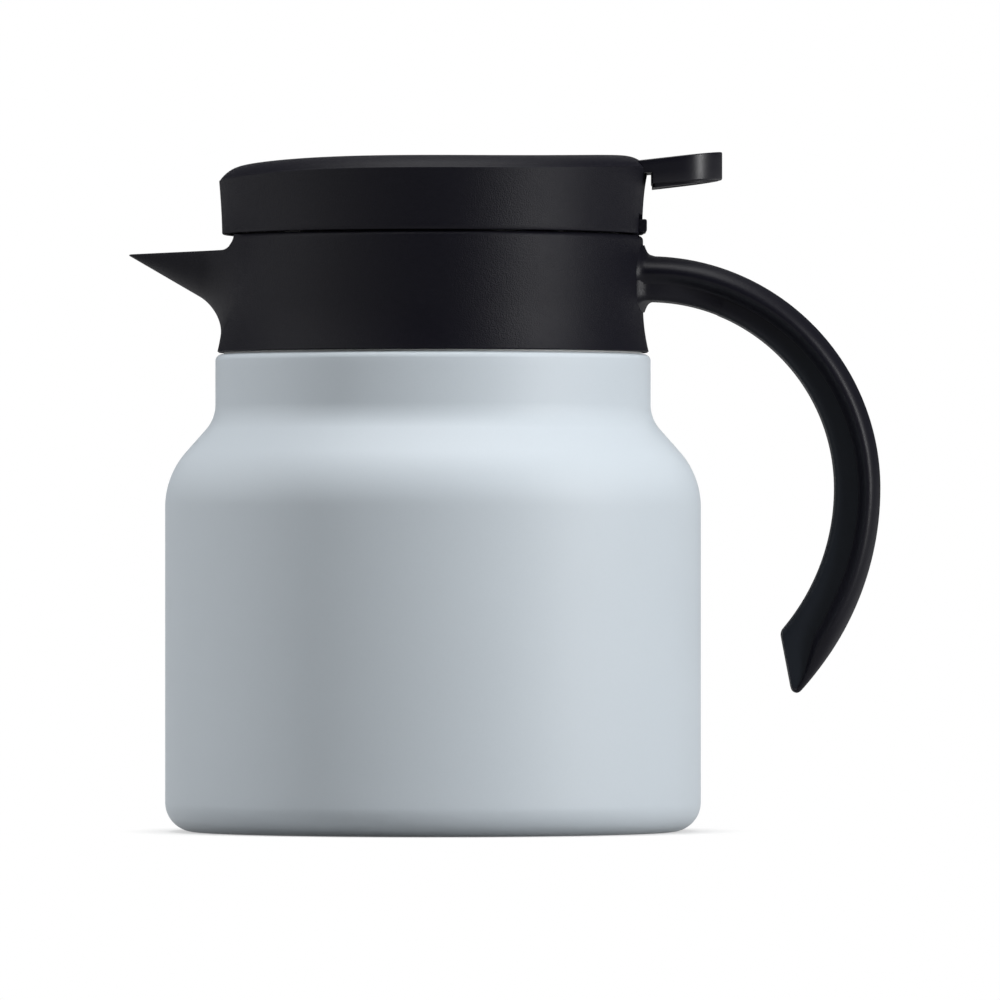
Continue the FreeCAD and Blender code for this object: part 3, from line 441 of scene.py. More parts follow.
class JUG_OT_collar(bpy.types.Operator):
    """Makes the collar with its spout, and the hinge lugs on its rim"""
    bl_idname = "jug.collar"
    bl_label = "Collar"

    def execute(self, context):
        black = finishes()["black_plastic"]
        surface = Surface()
        surface.add(collar_grid(context.scene.jug_sizes), close_rows=True)
        surface.piece("collar_spout", "head", "collar", "black_plastic", black)
        lugs = Surface()
        outline = hinge_outline(LUG, (3, 4, 3, 6))
        for side in (1.0, -1.0):
            lugs.add(prism(outline, side * LUG_IN, side * LUG_OUT, HINGE_BEVEL), caps=True)
        lugs.piece("hinge_lugs", "head", "collar", "black_plastic", black)
        return {"FINISHED"}


# Handle

# Inner and outer line: upper arcs about one centre, and lower arcs about centres at the same height
ARC_X, ARC_Z = 51.4, 82.0
INNER_BEND, OUTER_BEND = 44.6, 55.4
INNER_LOW_X, INNER_LOW_BEND, INNER_LOW_ANGLE = 44.0, 52.0, 41.3
OUTER_LOW_X, OUTER_LOW_BEND, OUTER_LOW_ANGLE = 35.8, 71.0, 44.9
INNER_TIP_BEND, OUTER_TIP_BEND = 1.0, 2.6
STEP_ANGLE = 1.5
LOW_STEPS = 44
ROOT_STEPS = 9

# Places along the handle from 0 at the collar to 1 at the tip
ROOT_PLACE, ARC_PLACE = 0.04, 0.62
ROOT_FADE = 0.17
TIP_FADE = 0.86
SPLIT_PLACES = (0.0, 0.2, ARC_PLACE, 0.9)
SPLIT_SHARES = (0.36, 0.38, 0.50, 0.52)
TIP_SWEEP, TIP_SWEEP_FROM = 0.41, 0.91

# Root on the collar
ROOT_INSET = 1.6
ROOT_DEEP = 0.9
ROOT_RUN = 8.0

# Rail: draw of its flanks, its widest line and crown as shares, and its step to the cover at the tip
RAIL_FLANK, TIP_FLANK = 6.0, 1.0
RAIL_WIDEST = 0.35
RAIL_CROWN = 0.05
TIP_STEP = 0.3
RAIL_GAP = 0.02

# Cover, and the band of the rail that goes on from it to the root
COVER_START = 68.0
COVER_EDGE = 1.2
COVER_GAP = 0.004
BAND_LAP = 1.0
BAND_INSET = 0.05
BAND_LOW, BAND_HIGH = 0.006, 0.08


def lower_arc(centre_x, bend, angles):
    """Points of the handle's lower arc at angles below level."""
    turn = np.radians(angles)
    return np.stack([centre_x + bend * np.cos(turn), ARC_Z - bend * np.sin(turn)], axis=1)


def drawn_in(distance, bend):
    """How far a round draws in at distance d from its end: bend - sqrt(bend^2 - (bend - d)^2)."""
    d = np.clip(distance, 0.0, bend)
    return bend - np.sqrt(bend * bend - (bend - d) ** 2)


def tip_round(line, bend):
    """How far the end of a line draws in to round the tip, as a column."""
    return drawn_in(np.linalg.norm(line - line[-1], axis=1), bend)[:, None]


def handle_lines(first_turn, root, last_turn=0.0):
    """Inner and outer line of the handle at shared stations, and the place of each station. A level root
    comes first where its x is given, then the upper arc, and the lower arc where that runs to level."""
    steps = 4 + int(abs(first_turn - last_turn) / STEP_ANGLE)
    upper = np.linspace(first_turn, last_turn, steps)
    inner = [arc(ARC_X, ARC_Z, INNER_BEND, first_turn, last_turn, steps)]
    outer = [arc(ARC_X, ARC_Z, OUTER_BEND, first_turn, last_turn, steps)]
    place = [ARC_PLACE - (ARC_PLACE - ROOT_PLACE) * upper / UPRIGHT]
    if last_turn == 0.0:
        share = np.sin(np.linspace(0.0, math.pi / 2.0, LOW_STEPS))[1:]
        low_inner = lower_arc(INNER_LOW_X, INNER_LOW_BEND, INNER_LOW_ANGLE * share)
        low_outer = lower_arc(OUTER_LOW_X, OUTER_LOW_BEND, OUTER_LOW_ANGLE * share)
        across = low_outer - low_inner
        across /= np.linalg.norm(across, axis=1)[:, None]
        inner.append(low_inner + across * tip_round(low_inner, INNER_TIP_BEND))
        outer.append(low_outer - across * tip_round(low_outer, OUTER_TIP_BEND))
        place.append(ARC_PLACE + (1.0 - ARC_PLACE) * share)
    if root is not None:
        for line, bend in ((inner, INNER_BEND), (outer, OUTER_BEND)):
            line.insert(0, straight((root, ARC_Z + bend), (ARC_X, ARC_Z + bend), ROOT_STEPS)[:-1])
        place.insert(0, np.linspace(0.0, ROOT_PLACE, ROOT_STEPS)[:-1])
    return np.concatenate(inner), np.concatenate(outer), np.concatenate(place)


def split_share(place):
    """Share of the handle's thickness that its inner band takes, swept out at the tip."""
    share = np.interp(place, SPLIT_PLACES, SPLIT_SHARES)
    return share + TIP_SWEEP * eased((place - TIP_SWEEP_FROM) / (1.0 - TIP_SWEEP_FROM))


def swept(inner, outer, low, high, loop_v, loop_y):
    """A section carried along the handle: v runs from low to high between the inner and outer line, and y is
    sideways."""
    v = (low + (high - low) * loop_v)[..., None]
    flat = inner[:, None] + (outer - inner)[:, None] * v
    return np.stack([flat[..., 0], loop_y, flat[..., 1]], axis=-1)


def root_flare(points, normal_y, normal_v, radius, bend):
    """Spreads the root by a round of radius bend on the collar. Its start follows the collar's side,
    sqrt(radius^2 - y^2), a little inside it."""
    out = drawn_in(np.hypot(points[..., 0], points[..., 1]) - radius, bend)
    moved = points.copy()
    moved[..., 1] += out * normal_y
    moved[..., 2] += out * normal_v
    start = points[0, 0, 0]
    back = np.sqrt((radius - ROOT_DEEP) ** 2 - np.minimum(moved[..., 1] ** 2, radius ** 2 / 4.0)) - start
    moved[..., 0] += back * (1.0 - np.clip((points[..., 0] - start) / ROOT_RUN, 0.0, 1.0))
    return moved


def rail_section(half, flank, under):
    """Strip that is broadly round outside and runs softly into the band below its widest line, as v, y and
    normals: y = half - flank (1 - cos t) above the line, half - under (1 - cos 2t) / 2 below it."""
    t = np.radians(np.concatenate([np.linspace(-UPRIGHT, 0.0, 7)[:-1], np.linspace(0.0, UPRIGHT, 17)]))
    fill = np.linspace(1.0, -1.0, 7)[1:-1]
    upper = t >= 0.0
    above = flank[:, None] * (1.0 - np.cos(t))
    below = under[:, None] * (1.0 - np.cos(2.0 * t)) / 2.0
    side = half[:, None] - np.where(upper, above, below)
    rise = RAIL_WIDEST + np.where(upper, (1.0 - RAIL_WIDEST) * np.sin(t), RAIL_WIDEST * 2.0 * t / math.pi)
    top = (half - flank)[:, None] * fill
    low = (half - under)[:, None] * fill[::-1]
    zero, one = 0.0 * fill, 0.0 * fill + 1.0
    v = np.concatenate([rise, one, rise[::-1], zero]) + 0.0 * half[:, None]
    y = np.concatenate([side, top, -side[:, ::-1], low], axis=1)
    normal_y = np.concatenate([np.cos(t), zero, -np.cos(t[::-1]), zero])
    normal_v = np.concatenate([np.sin(t), one, np.sin(t[::-1]), -one])
    crown = RAIL_CROWN * (y / half[:, None]) ** 2 * np.maximum(2.0 * v - 1.0, 0.0)
    return v - crown, y, normal_y, normal_v


def band_section(half, thickness):
    """Flat-sided bar whose two inner edges are round, as v, y and normals over the loop."""
    t = np.radians(np.linspace(-UPRIGHT, 0.0, 7))
    fill = np.linspace(1.0, -1.0, 7)[1:-1]
    rise = np.linspace(0.0, 1.0, 5)[1:]
    side = (half - COVER_EDGE)[:, None]
    share = (COVER_EDGE / thickness)[:, None]
    corner_v = share * (1.0 + np.sin(t))
    corner_y = side + COVER_EDGE * np.cos(t)
    wall_v = share + (1.0 - share) * rise
    wall_y = half[:, None] + 0.0 * rise
    top_v = 1.0 + 0.0 * half[:, None] * fill
    v = np.concatenate([corner_v, wall_v, top_v, wall_v[:, ::-1], corner_v[:, ::-1], 0.0 * top_v], axis=1)
    y = np.concatenate(
        [corner_y, wall_y, half[:, None] * fill, -wall_y, -corner_y[:, ::-1], -side * fill], axis=1)
    zero, flat = 0.0 * fill, 0.0 * rise
    normal_y = np.concatenate([np.cos(t), flat + 1.0, zero, flat - 1.0, -np.cos(t[::-1]), zero])
    normal_v = np.concatenate([np.sin(t), flat, zero, flat, np.sin(t[::-1]), zero - 1.0])
    return v, y, normal_y, normal_v


def band_points(inner, outer, place, half, low, lap):
    """Bar on the inner line, from low to lap past the split, and the normals of its section."""
    split = split_share(place)
    v, y, normal_y, normal_v = band_section(half, np.linalg.norm(outer - inner, axis=1) * split)
    return swept(inner, outer, low, split[:, None] + lap, v, y), normal_y, normal_v


class JUG_OT_handle(bpy.types.Operator):
    """Makes the handle's rail with its root on the collar, and the smooth cover on its inside"""
    bl_idname = "jug.handle"
    bl_label = "Handle"

    def execute(self, context):
        sizes = context.scene.jug_sizes
        radius = sizes.collar_radius / MM
        bend = sizes.root_bend / MM
        wide = sizes.handle_width / MM / 2.0
        narrow = sizes.cover_width / MM / 2.0
        step = wide - narrow - TIP_STEP

        rail = Surface()
        inner, outer, place = handle_lines(UPRIGHT, radius - ROOT_INSET)
        ending = eased((place - TIP_FADE) / (1.0 - TIP_FADE))
        half = wide - step * ending
        flank = RAIL_FLANK + (TIP_FLANK - RAIL_FLANK) * ending
        under = half - narrow - step * (1.0 - eased(place / ROOT_FADE)) - RAIL_GAP
        v, y, normal_y, normal_v = rail_section(half, flank, under)
        points = swept(inner, outer, split_share(place)[:, None], 1.0, v, y)
        rail.add(root_flare(points, normal_y, np.maximum(normal_v, 0.0), radius, bend), caps=True)

        inner, outer, place = handle_lines(UPRIGHT, radius - ROOT_INSET, COVER_START - BAND_LAP)
        half = narrow - BAND_INSET + step * (1.0 - eased(place / ROOT_FADE))
        points, normal_y, normal_v = band_points(inner, outer, place, half, BAND_LOW, BAND_HIGH)
        rail.add(root_flare(points, normal_y, normal_v, radius, bend), caps=True)
        rail.piece("handle_rail", "head", "collar", "black_plastic", finishes()["rail_plastic"])

        cover = Surface()
        inner, outer, place = handle_lines(COVER_START, None)
        points, _, _ = band_points(inner, outer, place, np.full(len(place), narrow), 0.0, -COVER_GAP)
        cover.add(points, caps=True)
        cover.piece("handle_inside", "head", "handle_cover", "satin_plastic", finishes()["satin_plastic"])
        return {"FINISHED"}


# Lid

LID_STEPS = 240
LID_LOW = 142.6
LID_IN = 48.2
SKIRT_TOP = 149.7
SKIRT_EDGE = 0.35
POLE = 0.6

# Points of the skirt's lower edge: distance from the inner or outer wall, and height above the edge
INNER_EDGE = ((0.12, 0.12), (0.40, 0.0))
OUTER_EDGE = ((0.35, 0.0), (0.10, 0.10))

# Slots of the skirt over the lugs, and how close in degrees the points beside their ends lie
SLOT_IN, SLOT_OUT, SLOT_TOP = 6.0, 10.6, 147.0
SLOT_STEP = 0.03

# Crest and crown of the roof, and the ceiling below it
CREST_Z = 156.96
CREST_GAP = 0.3
CREST_BEND, CREST_FROM = 0.25, -10.0
CROWN = 3.19
CROWN_BEND, CROWN_FROM = 7.2, 34.0
CROWN_STEP, CROWN_SHIFT, CROWN_FLAT = 2.0, 0.04, 2.0
ROOF_DROP = 3.2
CEILING_BEVEL = 1.0

# Flare of the wall, its hollow at the rear, and the bow of the lid with its share at some heights
FLARE_POWER = 1.4
REAR_HOLLOW = 0.45
REAR_FROM = 0.93
REAR_LIP, REAR_POWER = 2.2, 4
LID_BOW, LID_BOW_REACH = 1.7, 51.0
BOW_HEIGHTS = (146.2, SKIRT_TOP, 153.25, CREST_Z)
BOW_SHARES = (0.0, 0.25, 0.6, 1.0)


def lid_turns(radius):
    """Turns of the lid's columns, with a close pair at each end of the two hinge slots."""
    cuts = np.degrees(np.arcsin(np.array([SLOT_IN, SLOT_OUT]) / radius))
    cuts = np.concatenate([cuts, -cuts])
    even = np.linspace(-180.0, 180.0, LID_STEPS, endpoint=False)
    return np.radians(np.unique(np.concatenate([even, cuts - SLOT_STEP, cuts + SLOT_STEP])))


def lid_wall(z, turns, radius, crest):
    """Outer radius of the lid: a flare by a power of the height, hollow at the rear with a lip above."""
    rising = np.clip((z - LID_LOW) / (CREST_Z - LID_LOW), 0.0, 1.0)
    rear = REAR_HOLLOW * eased((np.cos(turns) - REAR_FROM) / (1.0 - REAR_FROM))
    return radius + (crest - radius) * rising ** FLARE_POWER + rear * (REAR_LIP * rising ** REAR_POWER - 1.0)


def lid_grid(sizes):
    """Lid as rows of (r, z) turned about the axis, closed above and below the roof. Its upper rows bow by
    share * LID_BOW * (x / reach)^3, and the skirt's lower edge steps up over the two hinge slots."""
    radius = sizes.lid_radius / MM
    crest = radius + sizes.lid_flare / MM
    turns = lid_turns(radius)
    across = np.abs(radius * np.sin(turns))
    slot = (np.cos(turns) > 0.0) & (across > SLOT_IN) & (across < SLOT_OUT)
    low = np.where(slot, SLOT_TOP, LID_LOW)
    skirt = low + SKIRT_EDGE + np.linspace(0.0, 1.0, 12)[:, None] * (SKIRT_TOP - low - SKIRT_EDGE)
    edge_r = [LID_IN + away for away, _ in INNER_EDGE] + [radius - away for away, _ in OUTER_EDGE]
    edge_z = [up for _, up in INNER_EDGE + OUTER_EDGE]
    flare = np.linspace(SKIRT_TOP, CREST_Z - CREST_GAP, 20)[1:, None] + 0.0 * turns
    wall_z = np.concatenate([skirt, flare])
    middle = crest - CROWN_BEND * math.cos(math.radians(CROWN_FROM)) - CROWN_SHIFT
    top = CREST_Z + CROWN
    crown = np.concatenate([
        arc(crest - CREST_BEND, CREST_Z, CREST_BEND, CREST_FROM, CROWN_FROM, 5),
        arc(middle, top - CROWN_BEND, CROWN_BEND, CROWN_FROM + CROWN_STEP, UPRIGHT, 18),
        straight((middle + CROWN_SHIFT - CROWN_FLAT, top), (POLE, top), 16),
    ])
    roof = top - ROOF_DROP
    ceiling = np.concatenate([
        straight((POLE, roof), (LID_IN - CEILING_BEVEL, roof), 8), [(LID_IN, roof - CEILING_BEVEL)],
    ])
    rows = [
        level_rows(ceiling, turns),
        (np.full(skirt.shape, LID_IN), skirt[::-1]),
        (np.array(edge_r)[:, None] + 0.0 * turns, low + np.array(edge_z)[:, None]),
        (lid_wall(wall_z, turns, radius, crest), wall_z),
        level_rows(crown, turns),
    ]
    r, z = (np.concatenate(part) for part in zip(*rows))
    x = r * np.cos(turns)
    bow = np.interp(z, BOW_HEIGHTS, BOW_SHARES) * LID_BOW * (x / LID_BOW_REACH) ** 3
    return np.stack([x, r * np.sin(turns), z + bow], axis=-1)


# Thumb tab and the plate under it

TAB_LEAN = math.tan(math.radians(6.5))
TAB_TOP = 160.2
TAB_DEPTH = 5.97
TAB_TAPER = 0.0074
TAB_ROOT_X, TAB_IN_X, TAB_END_X = 48.6, 52.2, 69.1
TAB_START_BEND = 0.3
TAB_EDGE, TAB_LOW_EDGE = 0.3, 0.4
TAB_INSET, TAB_LOW_INSET = 6.0, 4.0
LEAST_BEND = 0.08

# Depths below the tab's top: rows on the rim of its plate, and rows where its wall leaves the plate
RIM_DROPS = (1.6, 3.15)
WALL_DROPS = (3.2, 3.3)

# Plate under the tab, with inset and rise of the rows from its rim to its sunk panel
PLATE_IN, PLATE_END, PLATE_HALF = 52.4, 68.3, 9.6
PLATE_START_BEND, PLATE_BEND = 0.6, 9.0
PLATE_DEPTH, PLATE_TAPER = 0.9, 0.9
PLATE_SEAT, PLATE_SEAT_INSET = 0.5, 3.0
PLATE_EDGE = 0.1
PLATE_PANEL = ((1.6, 0.0), (1.8, 0.2), (4.0, 0.2))


def tab_height(x, drop, radius):
    """Height on the tab at x, below its sloping top; the tab is a little deeper towards its end."""
    return TAB_TOP + (x - radius) * TAB_LEAN - drop * (1.0 + TAB_TAPER * (x - TAB_IN_X))


def corner_loop(start, end, half, start_bend, end_bend, inset):
    """Outline of a plate with round corners, drawn in by inset: (x, y) points in turn."""
    near = max(start_bend - inset, LEAST_BEND)
    far = max(end_bend - inset, LEAST_BEND)
    low, high, side = start + inset, end - inset, half - inset
    return np.concatenate([
        arc(high - far, -side + far, far, -90.0, 0.0, 14),
        arc(high - far, side - far, far, 0.0, 90.0, 14),
        straight((high - far, side), (low + near, side), 8)[1:-1],
        arc(low + near, side - near, near, 90.0, 180.0, 6),
        arc(low + near, -side + near, near, 180.0, 270.0, 6),
        straight((low + near, -side), (high - far, -side), 8)[1:-1],
    ])


def edge_round(bend):
    """Inset and distance from the face of the rows round an edge, towards the face."""
    turns = np.radians(np.linspace(0.0, UPRIGHT, 5))
    return [(bend * (1.0 - math.cos(t)), bend * (1.0 - math.sin(t))) for t in turns]


def tab_rows(rows, radius):
    """Stacks outlines at depths below the tab's sloping top."""
    return np.stack([
        np.stack([o[:, 0], o[:, 1], tab_height(o[:, 0], drop, radius)], axis=1) for o, drop in rows
    ])


def tab_grid(sizes):
    """Tab as outlines from its top down: round edge, rim of the plate, step to the wall and low edge."""
    half = sizes.tab_width / MM / 2.0
    corner = sizes.tab_corner / MM

    def outline(start, inset=0.0):
        return corner_loop(start, TAB_END_X, half, TAB_START_BEND, corner, inset)

    rows = [(outline(TAB_ROOT_X, TAB_INSET), 0.0)]
    rows += [(outline(TAB_ROOT_X, inset), drop) for inset, drop in reversed(edge_round(TAB_EDGE))]
    rows += [(outline(TAB_ROOT_X), drop) for drop in RIM_DROPS]
    rows += [(outline(TAB_IN_X), drop) for drop in WALL_DROPS]
    rows += [(outline(TAB_IN_X, inset), TAB_DEPTH - up) for inset, up in edge_round(TAB_LOW_EDGE)]
    rows.append((outline(TAB_IN_X, TAB_LOW_INSET), TAB_DEPTH))
    return tab_rows(rows, sizes.lid_radius / MM)


def underside_grid(sizes):
    """Plate under the tab as outlines from its seat down: round edge and sunk panel, thinner to its end."""

    def plate(inset=0.0):
        return corner_loop(PLATE_IN, PLATE_END, PLATE_HALF, PLATE_START_BEND, PLATE_BEND, inset)

    def low(outline, up):
        along = (outline[:, 0] - PLATE_IN) / (PLATE_END - PLATE_IN)
        return TAB_DEPTH + PLATE_DEPTH * (1.0 - PLATE_TAPER * along) - up

    seat = TAB_DEPTH - PLATE_SEAT
    rows = [(plate(PLATE_SEAT_INSET), seat), (plate(), seat)]
    for inset, up in edge_round(PLATE_EDGE) + list(PLATE_PANEL):
        outline = plate(inset)
        rows.append((outline, low(outline, up)))
    return tab_rows(rows, sizes.lid_radius / MM)


class JUG_OT_lid(bpy.types.Operator):
    """Makes the lid, its thumb tab with the plate under it, and the hinge knuckle"""
    bl_idname = "jug.lid"
    bl_label = "Lid"

    def execute(self, context):
        sizes = context.scene.jug_sizes
        knuckle = prism(hinge_outline(KNUCKLE, (5, 5)), -KNUCKLE_HALF, KNUCKLE_HALF, HINGE_BEVEL)
        pieces = (
            ("lid_cap", lid_grid(sizes), "lid_shell", "black_plastic", "black_plastic"),
            ("thumb_tab", tab_grid(sizes), "lid_shell", "black_plastic", "tab_plastic"),
            ("tab_underside", underside_grid(sizes), "tab_cover", "satin_plastic", "satin_plastic"),
            ("hinge_knuckle", knuckle, "lid_shell", "black_plastic", "black_plastic"),
        )
        for name, grid, node, slot, finish in pieces:
            surface = Surface()
            surface.add(grid, caps=True)
            surface.piece(name, "lid", node, slot, finishes()[finish])
        return {"FINISHED"}


# Finishes

# Plastic is rougher where it turns away from the viewer
EDGE_BLEND = 0.4
EDGE_BLUR = 0.36

# Noise in a plastic's roughness, depth of its grain, heights of the cover's fade, tone of black steel
PIT_BLUR, BROAD_BLUR = 0.10, 0.03
GRAIN_DEPTH = 0.00015
SATIN_FADE_TOP, SATIN_FADE_LOW = 0.128, 0.106
BLACKENED = 0.05


class Wire:
    """A socket that takes part in sums; each operator adds one Math node."""

    def __init__(self, finish, socket):
        self.finish = finish
        self.socket = socket

    def maths(self, operation, first, second):
        """Adds a Math node."""
        return self.finish.node("ShaderNodeMath", {"operation": operation}, {0: first, 1: second})

    def __add__(self, other):
        return self.maths("ADD", self, other)

    def __radd__(self, other):
        return self.maths("ADD", other, self)

    def __mul__(self, other):
        return self.maths("MULTIPLY", self, other)

    def __rmul__(self, other):
        return self.maths("MULTIPLY", other, self)


class Finish:
    """The nodes of a material or of the world."""

    def __init__(self, owner):
        owner.use_nodes = True
        self.owner = owner
        self.tree = owner.node_tree
        self.tree.nodes.clear()

    def node(self, kind, settings, sockets, output=0):
        """Adds a node: its settings first, then the values or links of its sockets."""
        node = self.tree.nodes.new(kind)
        for name, value in settings.items():
            setattr(node, name, value)
        for name, value in sockets.items():
            if isinstance(value, Wire):
                self.tree.links.new(value.socket, node.inputs[name])
            else:
                node.inputs[name].default_value = value
        return Wire(self, node.outputs[output]) if len(node.outputs) else None

    def place(self, scale=(1.0, 1.0, 1.0)):
        """Object coordinates, stretched."""
        where = self.node("ShaderNodeTexCoord", {}, {}, "Object")
        return self.node("ShaderNodeMapping", {}, {"Vector": where, "Scale": scale})

    def noise(self, where, scale, detail=2.0, roughness=0.5):
        """Noise from 0 to 1 whose features are about 1 / scale metres apart."""
        sockets = {"Vector": where, "Scale": scale, "Detail": detail, "Roughness": roughness}
        return self.node("ShaderNodeTexNoise", {}, sockets)

    def smooth_range(self, value, start, end):
        """0 at start and 1 at end, with a smooth step between."""
        return self.node("ShaderNodeMapRange", {"interpolation_type": "SMOOTHSTEP"},
                         {"Value": value, "From Min": start, "From Max": end})

    def blend(self, share, dark, light):
        """Colour between dark and light."""
        return self.node("ShaderNodeMix", {"data_type": "RGBA"}, {"Factor": share, 6: dark, 7: light}, 2)

    def edge(self):
        """0 where a surface faces the viewer, up to 1 where it turns away."""
        return self.node("ShaderNodeLayerWeight", {}, {"Blend": EDGE_BLEND}, "Facing")

    def bump(self, height, strength, distance):
        """Normal bent by a height."""
        sockets = {"Height": height, "Strength": strength, "Distance": distance}
        return self.node("ShaderNodeBump", {}, sockets)

    def surface(self, **sockets):
        """Ends the material in a Principled shader."""
        named = {name.replace("_", " "): value for name, value in sockets.items()}
        shader = self.node("ShaderNodeBsdfPrincipled", {}, named)
        self.node("ShaderNodeOutputMaterial", {}, {"Surface": shader})
        return self.owner


def new_finish(name):
    """Starts a material."""
    return Finish(bpy.data.materials.new(name))


def grey(value):
    """A grey colour with full alpha."""
    return (value, value, value, 1.0)


def tone(base, factor):
    """A colour made lighter or darker, with full alpha."""
    return tuple(min(c * factor, 1.0) for c in base) + (1.0,)


def powder_coat(base):
    """Matt coat with a fine orange-peel texture and faint broad mottling."""
    f = new_finish("powder_coat")
    where = f.place()
    fine = f.noise(where, 1900.0, detail=3.0, roughness=0.55)
    broad = f.noise(where, 28.0)
    return f.surface(
        Base_Color=f.blend(fine * 0.6 + broad * 0.4, tone(base, 0.965), tone(base, 1.035)),
        Roughness=0.50 + fine * 0.10,
        Normal=f.bump(fine, strength=0.10, distance=0.00005),
        Specular_IOR_Level=0.30,
    )


def moulded(name, base, grain, roughness, depth, specular):
    """Moulded plastic with the even grain of a spark-eroded mould, and faint broad mottling."""
    f = new_finish(name)
    where = f.place()
    pits = f.noise(where, grain, roughness=0.6)
    broad = f.noise(where, 60.0)
    least = roughness - (PIT_BLUR + BROAD_BLUR) / 2.0
    return f.surface(
        Base_Color=f.blend(pits * 0.7 + broad * 0.3, tone(base, 0.80), tone(base, 1.20)),
        Roughness=least + pits * PIT_BLUR + broad * BROAD_BLUR + f.edge() * EDGE_BLUR,
        Normal=f.bump(pits, strength=depth, distance=GRAIN_DEPTH),
        Specular_IOR_Level=specular,
    )


def satin(root, base):
    """Smooth plastic of the handle's inside, which takes the collar's colour towards its root."""
    f = new_finish("satin_plastic")
    where = f.place()
    height = f.node("ShaderNodeSeparateXYZ", {}, {"Vector": where}, "Z")
    fade = f.smooth_range(height, SATIN_FADE_TOP, SATIN_FADE_LOW)
    fine = f.noise(where, 3400.0)
    cloud = f.noise(where, 60.0)
    return f.surface(
        Base_Color=f.blend(fade, tone(root, 1.0), tone(base, 1.0)),
        Roughness=0.36 + fine * 0.03 + cloud * 0.02 + f.edge() * EDGE_BLUR,
        Normal=f.bump(fine, strength=0.06, distance=0.00004),
        Specular_IOR_Level=0.15,
    )


def drawn_steel(name, base, roughness):
    """Satin steel with fine lines round the axis from drawing and polishing."""
    f = new_finish(name)
    lines = f.noise(f.place((60.0, 60.0, 5200.0)), 1.0, detail=3.0, roughness=0.6)
    cloud = f.noise(f.place(), 45.0, detail=3.0)
    return f.surface(
        Base_Color=f.blend(lines * 0.5 + cloud * 0.5, tone(base, 0.86), tone(base, 1.08)),
        Metallic=1.0,
        Roughness=roughness - 0.06 + lines * 0.10 + cloud * 0.06,
        Normal=f.bump(lines, strength=0.10, distance=0.00004),
    )


def rubbery(base):
    """Silicone: soft sheen, slightly uneven."""
    f = new_finish("silicone")
    where = f.place()
    cloud = f.noise(where, 160.0, detail=3.0)
    dust = f.noise(where, 2400.0)
    return f.surface(
        Base_Color=f.blend(cloud, tone(base, 0.92), tone(base, 1.06)),
        Roughness=0.42 + dust * 0.14,
        Normal=f.bump(dust, strength=0.06, distance=0.00005),
    )


def foamed(base):
    """Cut foam with open cells."""
    f = new_finish("foam")
    cells = f.node("ShaderNodeTexVoronoi", {}, {"Vector": f.place(), "Scale": 900.0})
    return f.surface(
        Base_Color=f.blend(cells, tone(base, 0.72), tone(base, 1.05)),
        Roughness=0.92,
        Normal=f.bump(cells, strength=0.5, distance=0.0003),
    )


def beaded(base):
    """Braze that has run and cooled in ripples."""
    f = new_finish("braze")
    ripple = f.noise(f.place(), 700.0, detail=4.0, roughness=0.6)
    return f.surface(
        Base_Color=f.blend(ripple, tone(base, 0.7), tone(base, 1.15)),
        Metallic=1.0,
        Roughness=0.30 + ripple * 0.2,
        Normal=f.bump(ripple, strength=0.25, distance=0.0003),
    )


def pressed(base):
    """Pressed powder pellet."""
    f = new_finish("getter_alloy")
    grains = f.noise(f.place(), 2600.0, detail=3.0, roughness=0.7)
    return f.surface(
        Base_Color=f.blend(grains, tone(base, 0.6), tone(base, 1.5)),
        Metallic=0.6,
        Roughness=0.55 + grains * 0.25,
        Normal=f.bump(grains, strength=0.4, distance=0.0001),
    )


# Moulded plastics: colour, scale of the grain, roughness, depth of the grain and gloss
PLASTICS = {
    "black_plastic": ("black", 3200.0, 0.36, 0.75, 0.10),
    "rail_plastic": ("black", 2400.0, 0.35, 0.16, 0.12),
    "tab_plastic": ("black", 3000.0, 0.31, 0.04, 0.20),
    "inner_plastic": ("inner", 3000.0, 0.36, 0.04, 0.25),
    "base_plastic": ("base", 2200.0, 0.50, 0.30, 0.45),
}
FINISHES = {}


def finishes():
    """All finishes by name, made on the first call."""
    if not FINISHES:
        c = bpy.context.scene.jug_colours
        for name, (base, *values) in PLASTICS.items():
            FINISHES[name] = moulded(name, getattr(c, base), *values)
        FINISHES.update({
            "powder_coat": powder_coat(c.coat),
            "satin_plastic": satin(c.black, c.satin),
            "liner_steel": drawn_steel("liner_steel", c.steel, 0.30),
            "pin_steel": drawn_steel("pin_steel", c.steel, 0.24),
            "black_steel": drawn_steel("black_steel", tuple(BLACKENED * part for part in c.steel), 0.45),
            "silicone": rubbery(c.silicone),
            "foam": foamed(c.foam),
            "braze": beaded(c.braze),
            "getter_alloy": pressed(c.getter),
        })
    return FINISHES


# Nodes of the solid model

WELD_REACH = 1e-6
SPLIT_ANGLE = math.radians(32.0)


class JUG_OT_inner_parts(bpy.types.Operator):
    """Gives the finishes to the nodes of the solid model, and smooths their shading"""
    bl_idname = "jug.inner_parts"
    bl_label = "Inner parts"

    def execute(self, context):
        slots = {s["node"]: s["material_slot"] for s in frame["record"]["subparts"]}
        slots["plug_screws"] = "black_steel"
        for name, node in frame["nodes"].items():
            node.data.materials.clear()
            node.data.materials.append(finishes()[slots[name]])
            weld = node.modifiers.new("Weld", "WELD")
            weld.merge_threshold = WELD_REACH
            split = node.modifiers.new("Edges", "EDGE_SPLIT")
            split.split_angle = SPLIT_ANGLE
        return {"FINISHED"}


# Stage, in metres; the sensor is in millimetres, and the rise a share of the frame's width

CAMERA_DISTANCE = 2.8
CAMERA_X, CAMERA_Z = 0.016, 0.0656
CAMERA_CLIP = 50.0
FRAME_WIDTH = 0.239
FRAME_RISE = 0.0569
SENSOR = 36.0

